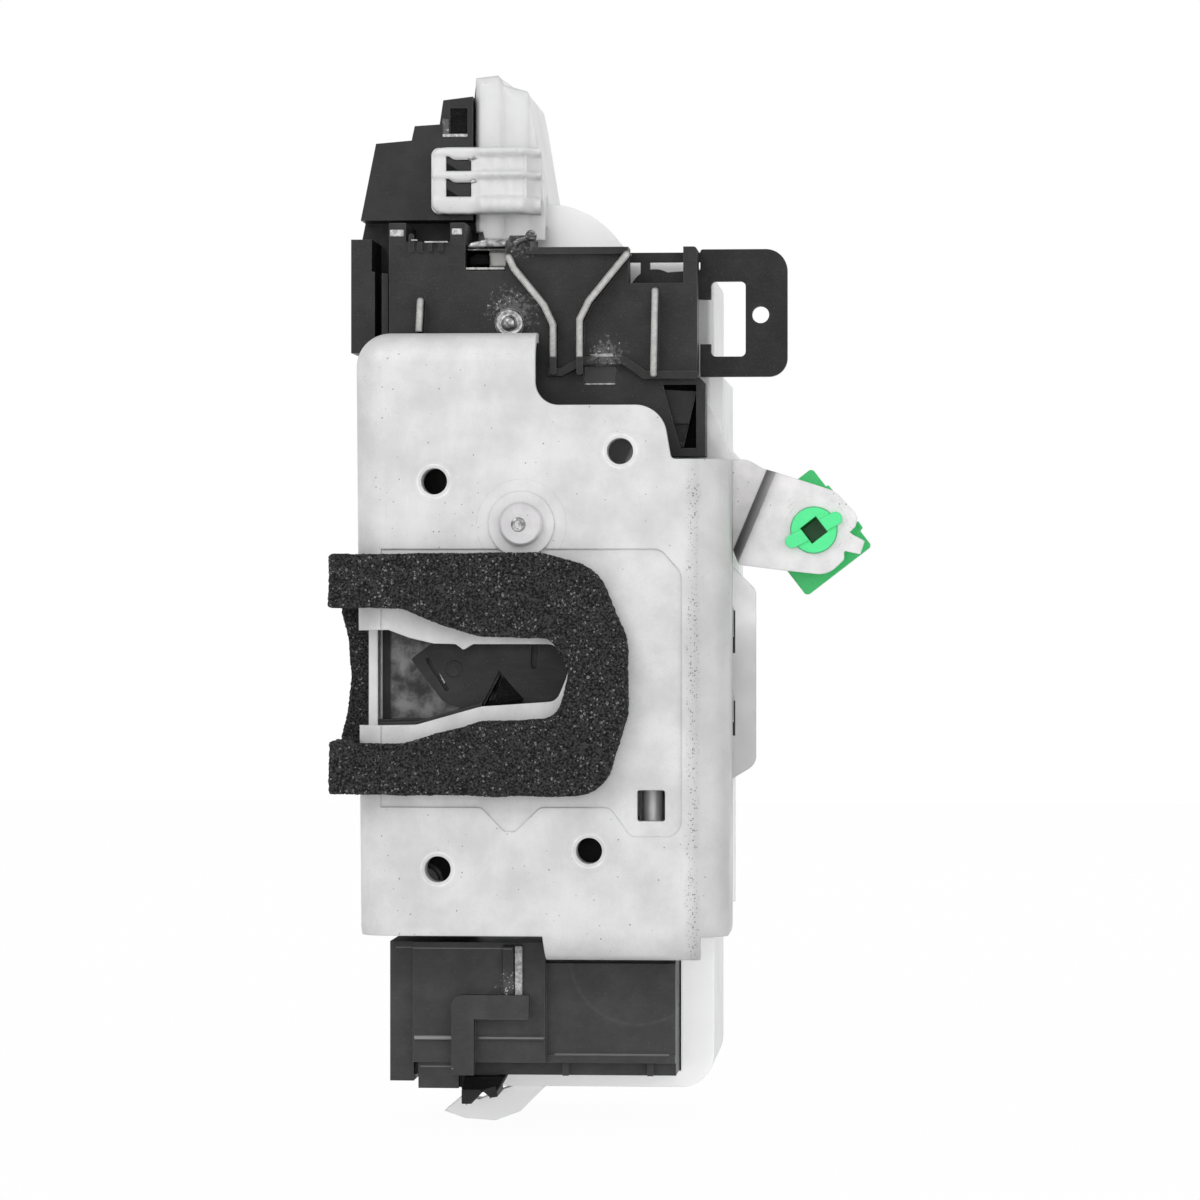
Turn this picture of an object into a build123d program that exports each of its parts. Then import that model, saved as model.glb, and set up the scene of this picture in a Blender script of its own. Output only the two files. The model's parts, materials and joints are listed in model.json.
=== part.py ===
from build123d import *
import math
import os

# Vehicle side-door latch with its electric lock module, in the open (unlatched) state.
# Millimetres. X runs toward the outer skin of the door, Y into the door, Z up.
# The origin is the axis of the upper inner bolt hole, on the front of the face plate.

# Face plate: a pressed steel pan with rolled edges
sheet = 1.8
bend = 5.5
plate_depth = 20.0
plate_left = -15.5
plate_right = 56.1
plate_top = 28.5
plate_bottom = -86.6
plate_lip = -91.4
plate_corner = 6.5
side_flange = 14.0
top_flange = 9.0
recess_depth = 0.4
tab_reach = 3.2

# Door bolt holes, M6, in extruded collars
bolt_bore = 2.5
bolt_collar = 4.1
bolt_length = 5.2
bolt_holes = [(0.0, 0.0), (35.5, 5.7), (0.7, -73.9), (29.6, -70.3)]
bolt_room = 3.6

# Back plate
back_sheet = 2.0
back_front = plate_depth
back_rear = back_front + back_sheet
flange_left = -14.3

# Fork bolt: steel core in a plastic coat, drawn closed and turned open about its rivet
fork_x = 16.7
fork_z = -8.2
fork_open = 53.0
fork_mid = 10.0
fork_sheet = 4.0
fork_reach = 36.4
coat = 1.2
coat_edge = 0.8
shank = 3.4
shank_gap = 0.06
slot_width = 10.6
slot_offset = 2.1
slot_reach = 28.1
fork_front = fork_mid - fork_sheet / 2
fork_back = fork_mid + fork_sheet / 2
coat_front = fork_front - coat
coat_back = fork_back + coat

# Fork rivet head
head_radius = 4.2
head_height = 1.7
boss_radius = 6.3
boss_rise = 0.5

# Pawl
pawl_hub = 5.0
pawl_room = 1.63
pawl_bearing = math.radians(-68.74)
pawl_x = fork_x + (fork_reach + pawl_hub + pawl_room) * math.cos(pawl_bearing)
pawl_z = fork_z + (fork_reach + pawl_hub + pawl_room) * math.sin(pawl_bearing)
pawl_shank = 2.6
pawl_gap = 0.6
peg_z = pawl_z + 4.7
peg_radius = 1.7
peg_room = 0.1

# Latch housing between the plates
housing_left = -12.3
housing_right = 53.8
housing_top = 3.8
housing_bottom = -84.5
housing_wall = 1.6
housing_front = sheet + recess_depth + 0.1
floor_front = 14.6
floor_back = back_front
pocket_bottom = pawl_z - 7.7

# Window pin and lock crank
pin_radius = 2.0
pin_x = 41.4
pin_y = 6.5
crank_top = pawl_z - 8.0
crank_bottom = crank_top - 10.8
crank_lug = 2.2
crank_half = 2.8
crank_arm = 1.4
crank_tip = 2.1
window_wide = 5.3
window_high = 5.9

# Foam seal
foam_front = 4.5
foam_wrap = 4.2

# Outside release lever and its rod clip
lever_sheet = 2.0
lever_front = back_rear + 0.4
lever_back = lever_front + lever_sheet
lever_x = 40.0
lever_z = -4.0
lever_hub = 7.5
lever_shank = 3.0
tip_front = 17.0
clip_x = 71.9
clip_z = -9.1
clip_hole = 4.5
clip_gap = 0.08
clip_square = 3.8
clip_turn = -52.4
clip_long = 19.1
clip_wide = 16.0
clip_thick = 7.0

# Release link, a sliding bar that lifts the pawl's peg
link_sheet = 1.8
link_front = lever_back + 0.4
link_back = link_front + link_sheet
link_arm = 9.0
link_pin = 1.6
link_rise = 3.1
link_half = 3.0
guide_x = lever_x + link_arm + 0.2
peg_x = lever_x + link_arm - link_half - peg_room - peg_radius
guide_z = lever_z - 25.0

# Lock module: one closed shell split into a black base and a white cover
wall = 1.8
module_front = 30.0
module_back = 76.0
module_left = -14.0
module_floor = -88.0
parting = 5.5
gasket_half = 0.2
screw_shank = 1.5
block_front = 22.0
column_front = 24.0

# Gear train: worm on the motor, wheel with pinion, toothed sector on the lock lever
wheel_x = 19.0
wheel_z = 37.7
wheel_mid = 46.0
wheel_teeth = 28
wheel_width = 4.6
pinion_teeth = 12
pinion_width = 4.8
sector_teeth = 32
gear_module = 1.0
worm_pitch_radius = 3.0
worm_outer = 3.9
worm_root = 2.1
casing_radius = 17.5
axle_radius = 1.5
gear_gap = 0.06

# Key lever and its shaft
key_x = 41.0
key_z = 36.6
key_boss = 5.0
key_sheet = 2.2
key_front = 19.9
key_shaft_radius = 2.0
key_hub = 3.6
rod_hole = 1.65

# Water shield
shield_front = 12.0
shield_sheet = 2.0
rib_front = 8.0
rib_width = 1.3
shield_wall = 1.6

# Connector
conn_front = 12.0
conn_right = 45.3
conn_left = -10.0
conn_top = -88.6
conn_bottom = -114.5
conn_back = 66.0
cover_low_right = 52.1
cover_low_bottom = -118.0
cover_low_back = 70.0

# Gap that flat faces keep when one of them moves
run = 0.3


# Drawing helpers. Outlines are drawn in X and Z; slabs stand from a front Y to a back Y.
def face_of(*corners):
    # Corners are (x, z) or (x, z, radius); a radius is limited by the two edges that it joins.
    corners = list(corners)
    points = [c[:2] for c in corners]
    radii = []
    for before, here, after in zip(corners[-1:] + corners[:-1], corners, corners[1:] + corners[:1]):
        radius = here[2] if len(here) > 2 else 0
        if radius:
            ax, az = unit(here[0] - before[0], here[1] - before[1])
            bx, bz = unit(after[0] - here[0], after[1] - here[1])
            bend_angle = math.acos(max(-1, min(1, ax * bx + az * bz)))
            shorter = min(math.dist(here[:2], before[:2]), math.dist(here[:2], after[:2]))
            radius = min(radius, 0.48 * shorter / math.tan(bend_angle / 2))
        radii.append(radius)
    if any(radii):
        return make_face(FilletPolyline(*points, radius=radii, close=True))
    return make_face(Polyline(*points, close=True))


def inset(corners, amount):
    # The same outline with every edge moved inward; a negative amount moves it outward.
    area = sum(a[0] * b[1] - b[0] * a[1] for a, b in zip(corners, corners[1:] + corners[:1]))
    turn = 1 if area > 0 else -1
    moved = []
    for before, here, after in zip(corners[-1:] + corners[:-1], corners, corners[1:] + corners[:1]):
        ax, az = unit(here[0] - before[0], here[1] - before[1])
        bx, bz = unit(after[0] - here[0], after[1] - here[1])
        cross = ax * bz - az * bx
        reach = turn * amount
        if abs(cross) < 1e-6:
            x, z = here[0] - az * reach, here[1] + ax * reach
        else:
            x = here[0] + reach * (bx - ax) / cross
            z = here[1] + reach * (bz - az) / cross
        radius = here[2] if len(here) > 2 else 0
        if radius:
            radius = max(radius - amount * (1 if cross * turn > 0 else -1), 0.2)
        moved.append((x, z, radius))
    return moved


def unit(x, z):
    length = math.hypot(x, z)
    return x / length, z / length


def disc(x, z, radius):
    return Pos(x, z) * Circle(radius)


def rect(left, right, bottom, top):
    return Pos((left + right) / 2, (bottom + top) / 2) * Rectangle(right - left, top - bottom)


def slab(sketch, front, back):
    return extrude(Plane.XZ.offset(-front) * sketch, amount=-(back - front))


def side_slab(sketch, left, right):
    return extrude(Plane.YZ.offset(left) * sketch, amount=right - left)


def block(left, right, front, back, bottom, top):
    middle = Pos((left + right) / 2, (front + back) / 2, (bottom + top) / 2)
    return middle * Box(right - left, back - front, top - bottom)


def pin_along_y(x, z, radius, front, back):
    return slab(disc(x, z, radius), front, back)


def pin_along_x(y, z, radius, left, right):
    return side_slab(disc(y, z, radius), left, right)


def pin_along_z(x, y, radius, bottom, top):
    return Pos(x, y, bottom) * Cylinder(radius, top - bottom, align=(Align.CENTER, Align.CENTER, Align.MIN))


def strip(points, width):
    pieces = []
    for (ax, az), (bx, bz) in zip(points, points[1:]):
        length = math.hypot(bx - ax, bz - az)
        angle = math.degrees(math.atan2(bz - az, bx - ax))
        place = Location(((ax + bx) / 2, (az + bz) / 2, 0), (0, 0, angle))
        pieces.append(place * SlotCenterToCenter(length, width))
    return Sketch() + pieces


def fork_place(sketch):
    return Location((fork_x, fork_z, 0), (0, 0, -fork_open)) * sketch


def polar(radius, degrees):
    return (radius * math.cos(math.radians(degrees)), radius * math.sin(math.radians(degrees)))


def coil_along_y(x, z, radius, wire, start, turns, pitch):
    path = Helix(pitch=pitch, height=pitch * turns, radius=radius, center=(x, start, z), direction=(0, 1, 0))
    section = Plane(path @ 0, z_dir=path % 0) * Circle(wire)
    return sweep(section, path=path, is_frenet=True)


def gear_outline(teeth, share, addendum=0.9, dedendum=1.15):
    pitch = teeth * gear_module / 2
    base = pitch * math.cos(math.radians(20))
    tip = pitch + addendum * gear_module
    root = pitch - dedendum * gear_module

    def involute(radius):
        return math.tan(math.acos(base / radius)) - math.acos(base / radius)

    def half(radius):
        return math.pi * share / teeth + involute(pitch) - involute(radius)

    start = max(base * 1.001, root)
    stations = [start, pitch, tip]
    points = []
    for tooth in range(teeth):
        middle = 2 * math.pi * tooth / teeth
        flank = [(root, half(start))] if root < start else []
        flank += [(radius, half(radius)) for radius in stations]
        left = [(r * math.cos(middle - a), r * math.sin(middle - a)) for r, a in flank]
        right = [(r * math.cos(middle + a), r * math.sin(middle + a)) for r, a in reversed(flank)]
        points += left + right
    return make_face(Polyline(*points, close=True))


# Shared outlines
def throat_outline(lift=0.0):
    return Pos(0, lift) * face_of(
        (-24, -28.6), (-8.8, -28.3), (-4.8, -29.8), (-0.1, -30.9), (4.1, -31.0, 0.6), (5.6, -32.1, 0.4),
        (7.4, -31.0, 0.6), (23.6, -31.0, 3.0), (25.7, -36.3, 3.5), (23.4, -41.9, 2.5), (8.9, -42.9, 6),
        (-3.5, -46.4, 4), (-24, -46.7))


def recess_outline():
    return face_of(
        (-10.2, -12.9), (43.2, -12.9, 3), (47.2, -17.5, 3), (47.2, -67.6, 3), (37.5, -67.6, 2), (33.6, -62.1, 2),
        (20.3, -62.1, 1.5), (15.5, -66.7, 1), (13.4, -66.7, 1), (9.0, -62.1, 1.5), (-10.2, -62.1))


def fork_blank():
    wedge = face_of((0, 0), polar(60, -61.9), polar(60, -28))
    rim = disc(0, 0, fork_reach) & wedge
    leg = face_of((-8.8, 0), (-11, -18, 4), (-9.0, -29.2, 1.5), (-5.0, -30.8, 1.0), (2, -31), (8.2, -32.2),
                  polar(fork_reach, -61.9), (20, -10), (8.8, 1))
    taper = face_of((0, 0), polar(fork_reach, -28), (24, -6, 5), (7, 5))
    return disc(0, 0, 9.0) + rim + leg + taper


def fork_slot(width):
    top = disc(slot_offset, -slot_reach, width / 2)
    mouth = rect(slot_offset - width / 2, slot_offset + width / 2, -slot_reach - 30, -slot_reach)
    return top + mouth


def pawl_notch(grow):
    # A bite out of the rim, of which the throat shows a dark triangle in the open state.
    return face_of(*inset([(20.0, -21.0), (26.1, -33.6), (38.0, -30.0), (34.0, -20.8)], -grow))


def coat_grooves():
    # Thin places in the coat, where it gives and takes the noise out of the slam.
    return strip([(9.6, -30.4), (16.2, -30.9)], 0.9) + strip([polar(23.4, -32), polar(27.0, -33)], 1.3)


# Face plate
def pan(margin, front, radius):
    corners = [(plate_left, plate_top, plate_corner), (plate_right, plate_top, plate_corner),
               (plate_right, plate_lip, plate_corner), (plate_left + 1.0, plate_lip, plate_corner)]
    body = slab(face_of(*inset(corners, margin)), front, plate_depth + margin)
    return fillet(body.faces().sort_by(Axis.Y)[0].edges(), radius)


def face_plate():
    far = 40
    plate = pan(0, 0, bend) - pan(sheet, sheet, bend - sheet)
    upper_right = face_of((19.3, far), (19.3, 14.5, 4.5), (43.4, 14.5, 9), (45.2, 4.2, 1), (90, 4.2), (90, far))
    plate -= slab(upper_right, -1, far)
    plate -= slab(face_of((-30, plate_bottom), (20.7, plate_bottom), (21.9, -99), (-30, -99)), -1, far)
    plate -= slab(face_of((50.8, plate_bottom), (90, plate_bottom), (90, -99), (50.1, -99)), -1, far)
    plate -= block(15, 60, 7, far, -99, plate_bottom - 0.1)
    plate -= block(-30, 60, top_flange, far, 20, far)
    plate -= block(-30, -5, side_flange, far, -99, far)
    plate -= block(-30, -9.8, bend, far, -50, -24.5)
    plate += slab(recess_outline(), sheet - 0.2, sheet + recess_depth)
    plate -= slab(recess_outline(), -1, recess_depth)
    plate += pin_along_y(fork_x, fork_z, boss_radius, -boss_rise, sheet)
    plate += [pin_along_y(x, z, bolt_collar, 0.5, bolt_length) for x, z in bolt_holes]
    plate -= [pin_along_y(x, z, bolt_bore, -1, far) for x, z in bolt_holes]
    plate -= slab(throat_outline(), -1, far)
    window = RectangleRounded(window_wide, window_high, 0.5)
    plate -= slab(Pos(pin_x, (crank_top + crank_bottom) / 2) * window, -1, 5)
    plate -= pin_along_y(fork_x, fork_z, shank + shank_gap, -1, 5)
    plate -= pin_along_y(pawl_x, pawl_z, pawl_shank + shank_gap, -1, 5)
    for low, high in flange_tabs():
        plate += block(plate_right - sheet, plate_right, plate_depth - 1, back_rear + tab_reach - 2, low, high)
    return plate


def flange_tabs():
    return [(-29.5, -24.0), (-46.0, -41.0)]


# Foam seal around the throat
def foam_seal():
    outer = face_of((-19.2, -14.0, 1), (20.6, -13.6, 8), (31.0, -16.5, 9), (37.1, -30.2, 8), (37.1, -44, 10),
                    (32.5, -59.9, 8), (-17.0, -59.5, 1), (-19.2, -57))
    inner = face_of((-30, -23.9), (-5.9, -24.1, 4), (1.7, -27.3), (9.3, -29.5, 6), (22.5, -29.8, 3),
                    (26.4, -36.2, 5), (23.5, -45.1, 4), (9.3, -45.7, 6), (-5.9, -50.0, 4), (-30, -49.7))
    ring = outer - inner
    left = plate_left - foam_wrap
    seat = plate_left - 0.1
    foam = slab(ring & rect(-9.2, 60, -70, 0), -foam_front, recess_depth - 0.1)
    foam += slab(ring & rect(left, -9.0, -70, 0), -foam_front, -0.1)
    foam += block(left, seat, -foam_front, 19, -24.0, -14.0)
    foam += block(left, seat, -foam_front, 19, -59.5, -49.5)
    foam += block(left, flange_left - 0.1, 16, 19, -50, -23.5)
    return foam - pin_along_y(fork_x, fork_z, boss_radius + 0.2, -boss_rise - 0.2, 5)


# Steel back plate with the flange behind the mouth
def back_plate():
    outline = face_of(
        (-13.2, -14, 2), (-9, 1.5, 3), (34, 1.5), (38.5, 12, 3), (50.7, 17.2, 1.5), (54.0, 10.4), (56.0, 2.7),
        (56.0, -16.0), (60.6, -20.7, 2), (60.6, -54.5, 3), (55.6, -57.5, 2), (54.0, -62), (54.0, -84, 3),
        (-10, -84, 3), (-13.2, -79, 3))
    plate = slab(outline, back_front, back_rear)
    plate += block(flange_left, flange_left + 1.8, 15.2, back_front + 1, -51.5, -22.5)
    plate += block(flange_left, -12.0, back_front, back_rear, -51.5, -22.5)
    plate -= slab(peg_slot(), 15, 25)
    plate -= slab(rect(pin_x - 8.0, pin_x + 3.6, crank_top - 8.3, crank_top - 1.1), 15, 25)
    plate -= pin_along_y(fork_x, fork_z, shank + shank_gap, 15, 25)
    plate -= pin_along_y(pawl_x, pawl_z, pawl_shank + shank_gap, 15, 25)
    plate -= pin_along_y(lever_x, lever_z, lever_shank + shank_gap, 15, 25)
    plate -= [pin_along_y(x, z, screw_shank + shank_gap, 15, 25) for x, z in module_screw_places()]
    plate -= pin_along_y(guide_x, guide_z, link_pin + shank_gap, 15, 25)
    for low, high in flange_tabs():
        plate -= block(plate_right - sheet - 0.15, plate_right + 0.15, 15, 25, low - 0.2, high + 0.2)
    return plate


def module_screw_places():
    return [(-4.0, -77.5), (48.5, -77.5), (-6.0, -9.0), (45.5, 12.0)]


# Black latch housing that fills the pan between the two plates
def latch_housing():
    shell = rect(housing_left, housing_right, housing_bottom, housing_top)
    body = slab(shell, housing_front, floor_back)
    envelope = fillet(body.edges().filter_by(Axis.Z).sort_by(Axis.Y)[:2], bend - 0.7)
    pocket = rect(housing_left - 5, housing_right - housing_wall, pocket_bottom, housing_top - housing_wall)
    body -= slab(pocket, 0, floor_front)
    body += block(housing_left, 2.0, housing_front, floor_front, pocket_bottom, -49.2)
    body += slab(face_of((housing_left, -46.1), (-3.5, -45.8), (8.9, -42.3), (8.9, -43.6), (-3, -47.6),
                         (housing_left, -50)), housing_front, coat_front - 0.6)
    body += block(peg_x - 4.6, peg_x - 0.2, housing_front, floor_front, pocket_bottom, pocket_bottom + 3)
    body += block(43.4, 53.0, housing_front + 3, floor_front, -1.0, housing_top)
    body -= block(pin_x - 6.4, pin_x + 5.2, 0, 25, crank_bottom - 0.4, crank_top + 0.5)
    body -= slab(throat_outline(0.8), 0, 25)
    body -= block(-20, -10.6, 0, 15.4, -52.0, -22.0)
    body -= slab(peg_slot(), 10, 25)
    body -= [pin_along_y(x, z, bolt_room if z < -60 else bolt_room + 1.2, 0, 18.5) for x, z in bolt_holes]
    body -= [pin_along_y(x, z, bolt_collar + 0.4, 0, bolt_length + 0.5) for x, z in bolt_holes]
    body += pin_along_y(fork_x, fork_z, 5.9, coat_back + 0.3, floor_back)
    body += pin_along_y(pawl_x, pawl_z, 4.0, coat_back - 0.7, floor_back)
    body -= slab(disc(fork_x, fork_z, 9.4) - disc(fork_x, fork_z, 5.9), floor_front - 1, 19.0)
    body -= slab(disc(pawl_x, pawl_z, 6.4) - disc(pawl_x, pawl_z, 4.0), floor_front - 1, 19.0)
    body -= pin_along_y(fork_x, fork_z, shank + shank_gap, 0, 25)
    body -= pin_along_y(pawl_x, pawl_z, pawl_shank + shank_gap, 0, 25)
    body -= pin_along_z(pin_x, pin_y, pin_radius + 0.03, crank_bottom - 4, crank_top + 6)
    body -= [pin_along_y(x, z, 4.0, 0, 25) for x, z in module_screw_places()]
    body -= block(44.0, 52.2, 6.4, 13.9, -8.4, 2.4)
    return body & envelope


def throat_bumper():
    shape = face_of((26.4, -31.6, 1), (31.0, -31.6, 1), (31.0, -42.0, 1), (26.0, -42.0, 1), (27.4, -36.4, 3))
    return slab(shape, sheet + recess_depth, coat_front - 0.6)


# Rivets
def fork_rivet():
    front = -boss_rise - head_height
    rivet = pin_along_y(fork_x, fork_z, shank, -boss_rise, back_rear + 0.1)
    head = pin_along_y(fork_x, fork_z, head_radius, front, -boss_rise)
    head = chamfer(head.faces().sort_by(Axis.Y)[0].edges(), 0.5)
    rivet += head
    rivet += pin_along_y(fork_x, fork_z, 5.0, back_rear, back_rear + 1.4)
    dimple = Pos(fork_x, front, fork_z) * Rot(90, 0, 0) * Cone(0.01, 1.1, 0.9)
    return rivet - dimple


def pawl_rivet():
    rivet = pin_along_y(pawl_x, pawl_z, pawl_shank, recess_depth + 0.1, back_rear + 0.1)
    return rivet + pin_along_y(pawl_x, pawl_z, 4.0, back_rear, back_rear + 1.2)


# Fork bolt
def fork_core():
    shape = fork_blank() - fork_slot(slot_width + 2 * coat_edge) - pawl_notch(0)
    core = slab(fork_place(shape), fork_front, fork_back)
    return core - pin_along_y(fork_x, fork_z, shank + shank_gap, 0, 20)


def fork_overmould():
    steel = fork_blank() - fork_slot(slot_width + 2 * coat_edge) - pawl_notch(0)
    grown = offset(fork_blank(), amount=coat_edge) - fork_slot(slot_width) - pawl_notch(0.4)
    grown -= disc(0, 0, 7.5)
    coat_body = slab(fork_place(grown), coat_front, coat_back)
    coat_body -= slab(fork_place(steel + disc(0, 0, 7.5)), fork_front, fork_back)
    return coat_body - slab(fork_place(coat_grooves()), coat_front - 1, fork_front)


def fork_spring():
    coil = coil_along_y(fork_x, fork_z, 7.6, 0.6, 15.5, 2, 1.3)
    return coil + pin_along_y(fork_x + 7.6, fork_z, 0.5, coat_back + 0.1, 15.6)


# Pawl
def pawl_core():
    tip = face_of((-15.0, 3.3), (-1.3, 6.3), (0.7, -4.9), (-6.3, -4.3, 2), (-15.1, -2.3, 0.8))
    shape = disc(pawl_x, pawl_z, pawl_hub) + Pos(pawl_x, pawl_z) * tip + pawl_tail()
    shape -= disc(fork_x, fork_z, fork_reach + coat_edge + pawl_gap)
    core = slab(shape, fork_front, fork_back)
    core -= pin_along_y(pawl_x, pawl_z, pawl_shank + shank_gap, 0, 20)
    return core - pin_along_y(peg_x, peg_z, peg_radius, 0, 20)


def pawl_tail():
    return Pos(pawl_x, pawl_z) * face_of((-1.1, 4.3), (12.0, 7.3, 1.5), (14.3, 3.1, 1.5), (1.2, -4.7))


def pawl_coat():
    coated = Pos(pawl_x, pawl_z) * face_of((4.7, 3.7, 1), (12.6, 8.4, 1.5), (15.7, 2.5, 1.5), (6.1, -4.1, 1))
    body = slab(coated, coat_front, coat_back) - slab(pawl_tail(), fork_front, fork_back)
    return body - pin_along_y(peg_x, peg_z, peg_radius, 0, 20)


def peg_slot():
    return rect(peg_x - 4.6, peg_x + 3.4, peg_z - 4.6, peg_z + 6.6)


def pawl_peg():
    return pin_along_y(peg_x, peg_z, peg_radius, fork_front, link_back + 0.4)


def pawl_spring():
    coil = coil_along_y(pawl_x, pawl_z, 5.0, 0.5, 14.9, 3, 1.2)
    return coil + pin_along_y(pawl_x - 5.0, pawl_z, 0.4, fork_back + 0.1, 15.5)


# Lock crank on the pin that shows in the window
def window_pin():
    return pin_along_z(pin_x, pin_y, pin_radius, crank_bottom - 3.5, crank_top + 3.1)


def lock_crank():
    back = 12.6
    crank = block(pin_x - crank_half, pin_x + crank_half, 10.0, back, crank_bottom, crank_top)
    for low in (crank_bottom, crank_top - crank_lug):
        crank += block(pin_x - crank_half, pin_x + crank_half, pin_y, back, low, low + crank_lug)
        crank += pin_along_z(pin_x, pin_y, crank_half, low, low + crank_lug)
    arm_low = crank_top - 6.6
    tip_back = link_back + run + crank_tip
    crank += block(pin_x - crank_arm, pin_x + crank_arm, back - 1, tip_back, arm_low, arm_low + 3.3)
    crank += block(pin_x - crank_arm, pin_x + crank_arm, tip_back - crank_tip, tip_back, arm_low, crank_top + 5.7)
    return crank - pin_along_z(pin_x, pin_y, pin_radius + 0.06, crank_bottom - 5, crank_top + 5)


# Ajar switch, pressed by the fork
def ajar_switch():
    body = block(44.4, 51.8, 6.8, 13.6, -6.6, 1.8)
    return body - block(46.6, 49.4, 8.6, 11.4, -8, -2.4)


def ajar_plunger():
    return block(46.8, 49.2, 8.8, 11.2, -8.2, -4.0)


# Outside release lever with the joggle between root and tip
def release_lever():
    across = (0.922, -0.386)
    along = (0.386, 0.922)
    hub = disc(lever_x, lever_z, lever_hub)
    root = face_of((36.0, 2.2, 1), (50, 4.6, 3), (58.8, 4.7, 3), (61.8, 3.0, 2), (76.0, -1.6, 5), (80.4, -6.4, 4),
                   (79.9, -8.4), (78.8, -9.5), (79.4, -10.0), (81.7, -11.2, 0.3), (80.8, -13.8, 0.3),
                   (77.7, -13.1, 0.3), (77.7, -14.8, 1), (74.5, -17.8, 5), (66.1, -16.9, 5), (57.4, -15.8, 1),
                   (55.4, -11.5, 2), (40, -11.4))
    blank = slab(hub + root, tip_front - 1, lever_back + 1)
    drop = lever_front - tip_front
    section = face_of(
        (-70, lever_front), (0, lever_front), (2.0, tip_front), (60, tip_front), (60, tip_front + lever_sheet),
        (2.0 + 1.5, tip_front + lever_sheet), (1.5, lever_back), (-70, lever_back))
    frame = Plane(origin=(56.2 - 30 * along[0], 0, -12.7 - 30 * along[1]),
                  x_dir=(across[0], 0, across[1]), z_dir=(along[0], 0, along[1]))
    fold = extrude(frame * section, amount=90)
    lever = blank & fold
    lever -= pin_along_y(lever_x, lever_z, lever_shank + shank_gap, 0, 40)
    lever -= pin_along_y(clip_x, clip_z, clip_hole, 0, 40)
    return lever - pin_along_y(lever_x + link_arm, lever_z, link_pin, 0, 40)


def lever_link_pin():
    return pin_along_y(lever_x + link_arm, lever_z, link_pin, lever_front, link_back + 0.5)


def lever_rivet():
    rivet = pin_along_y(lever_x, lever_z, lever_shank, back_front, module_front - run)
    return rivet + pin_along_y(lever_x, lever_z, 4.6, lever_back + 0.1, lever_back + 1.2)


def lever_spring():
    return coil_along_y(lever_x, lever_z, 4.6, 0.6, lever_back + 2.0, 2, 1.4)


# Rod clip: barrel through the lever, two ears in front and a block behind
def rod_clip():
    barrel = pin_along_y(clip_x, clip_z, clip_hole - clip_gap, tip_front - 0.8, lever_back + run + 0.6)
    ears = strip([polar(2.0, 28), polar(4.7, 28)], 2.6) + strip([polar(2.0, 208), polar(4.7, 208)], 2.6)
    clip = barrel + slab(Pos(clip_x, clip_z) * ears, tip_front - 1.3, tip_front - 0.1)
    body = Location((clip_x - 1.1, clip_z - 0.3, 0), (0, 0, clip_turn)) * RectangleRounded(clip_long, clip_wide, 0.8)
    clip += slab(body, lever_back + run, lever_back + run + clip_thick)
    square = Location((clip_x, clip_z, 0), (0, 0, clip_turn)) * Rectangle(clip_square, clip_square)
    return clip - slab(square, 0, lever_back + run + clip_thick - 1.2)


# Release link
def release_link():
    x = lever_x + link_arm
    bar = slab(rect(x - link_half, x + link_half, peg_z - 6.4, lever_z + 4.0), link_front, link_back)
    bar += slab(rect(peg_x - 2.2, x + link_half, peg_z - 6.4, peg_z - peg_radius - 0.4), link_front, link_back)
    hole = rect(x - link_pin - 0.9, x + link_pin + 0.35, lever_z - link_pin - 0.15, lever_z + link_pin + 0.15)
    bar -= slab(hole, 20, 40)
    guide = strip([(guide_x, guide_z - link_rise), (guide_x, guide_z)], 2 * link_pin + 0.3)
    return bar - slab(guide, 20, 40)


def link_guide_pin():
    pin = pin_along_y(guide_x, guide_z, link_pin, back_front, link_back + 0.3)
    pin += pin_along_y(guide_x, guide_z, 2.6, back_rear, link_front - 0.2)
    return pin + pin_along_y(guide_x, guide_z, 2.6, link_back + 0.3, link_back + 1.1)


# Module shell
def module_outline(margin):
    block_part = [
        (module_left, 47.6), (-17.5, 47.6), (-13.7, 66.5), (-6.7, 67.1), (-6.1, 69.9), (-1.2, 70.2),
        (-0.5, 74.9), (4.8, 75.6), (5.2, 79.3, 1), (10.1, 79.7, 1.5), (13.1, 77.5, 1), (16.0, 76.5, 1),
        (19.4, 56.0), (19.4, 20), (module_left, 20)]
    body = [(module_left, 48), (module_left, module_floor, 3), (52.1, module_floor, 3), (55.0, -50, 8),
            (56.0, 5.7, 1), (53.8, 8.0, 1), (53.8, 21.0), (51.9, 22.5), (51.9, 41.5, 2), (45.5, 43.6, 3),
            (34, 45.6), (19, 45.6), (0, 48)]
    outline = face_of(*inset(block_part, margin)) + face_of(*inset(body, margin))
    return outline + disc(wheel_x, wheel_z, casing_radius - margin) + disc(key_x, key_z, 7.0 - margin)


def side_outline(margin):
    corners = [
        (module_front, 90), (58, 90), (58, 79.8, 3), (64, 72, 4), (64, 58, 4), (module_back, 50, 6),
        (module_back, -58, 8), (cover_low_back, -74, 4), (cover_low_back, module_floor - 20),
        (module_front, module_floor - 20)]
    return face_of(*inset(corners, margin))


def module_shell():
    outer = slab(module_outline(0), module_front, module_back) & side_slab(side_outline(0), -60, 90)
    inner = slab(module_outline(wall), module_front - 5, module_back + 5)
    return outer - (inner & side_slab(side_outline(wall), -60, 90))


def left_half(body, edge):
    return body & block(-60, edge, -20, 120, -200, 200)


def right_half(body, edge):
    return body & block(edge, 120, -20, 120, -200, 200)


def top_block_outline(margin):
    edge = parting - gasket_half
    corners = [(-16.7, 51.5), (-13.7, 66.5), (-6.7, 67.1), (-6.1, 69.9), (-1.2, 70.2), (-0.5, 74.9), (edge, 75.6),
               (edge, 51.5)]
    return face_of(*inset(corners, margin))


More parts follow.
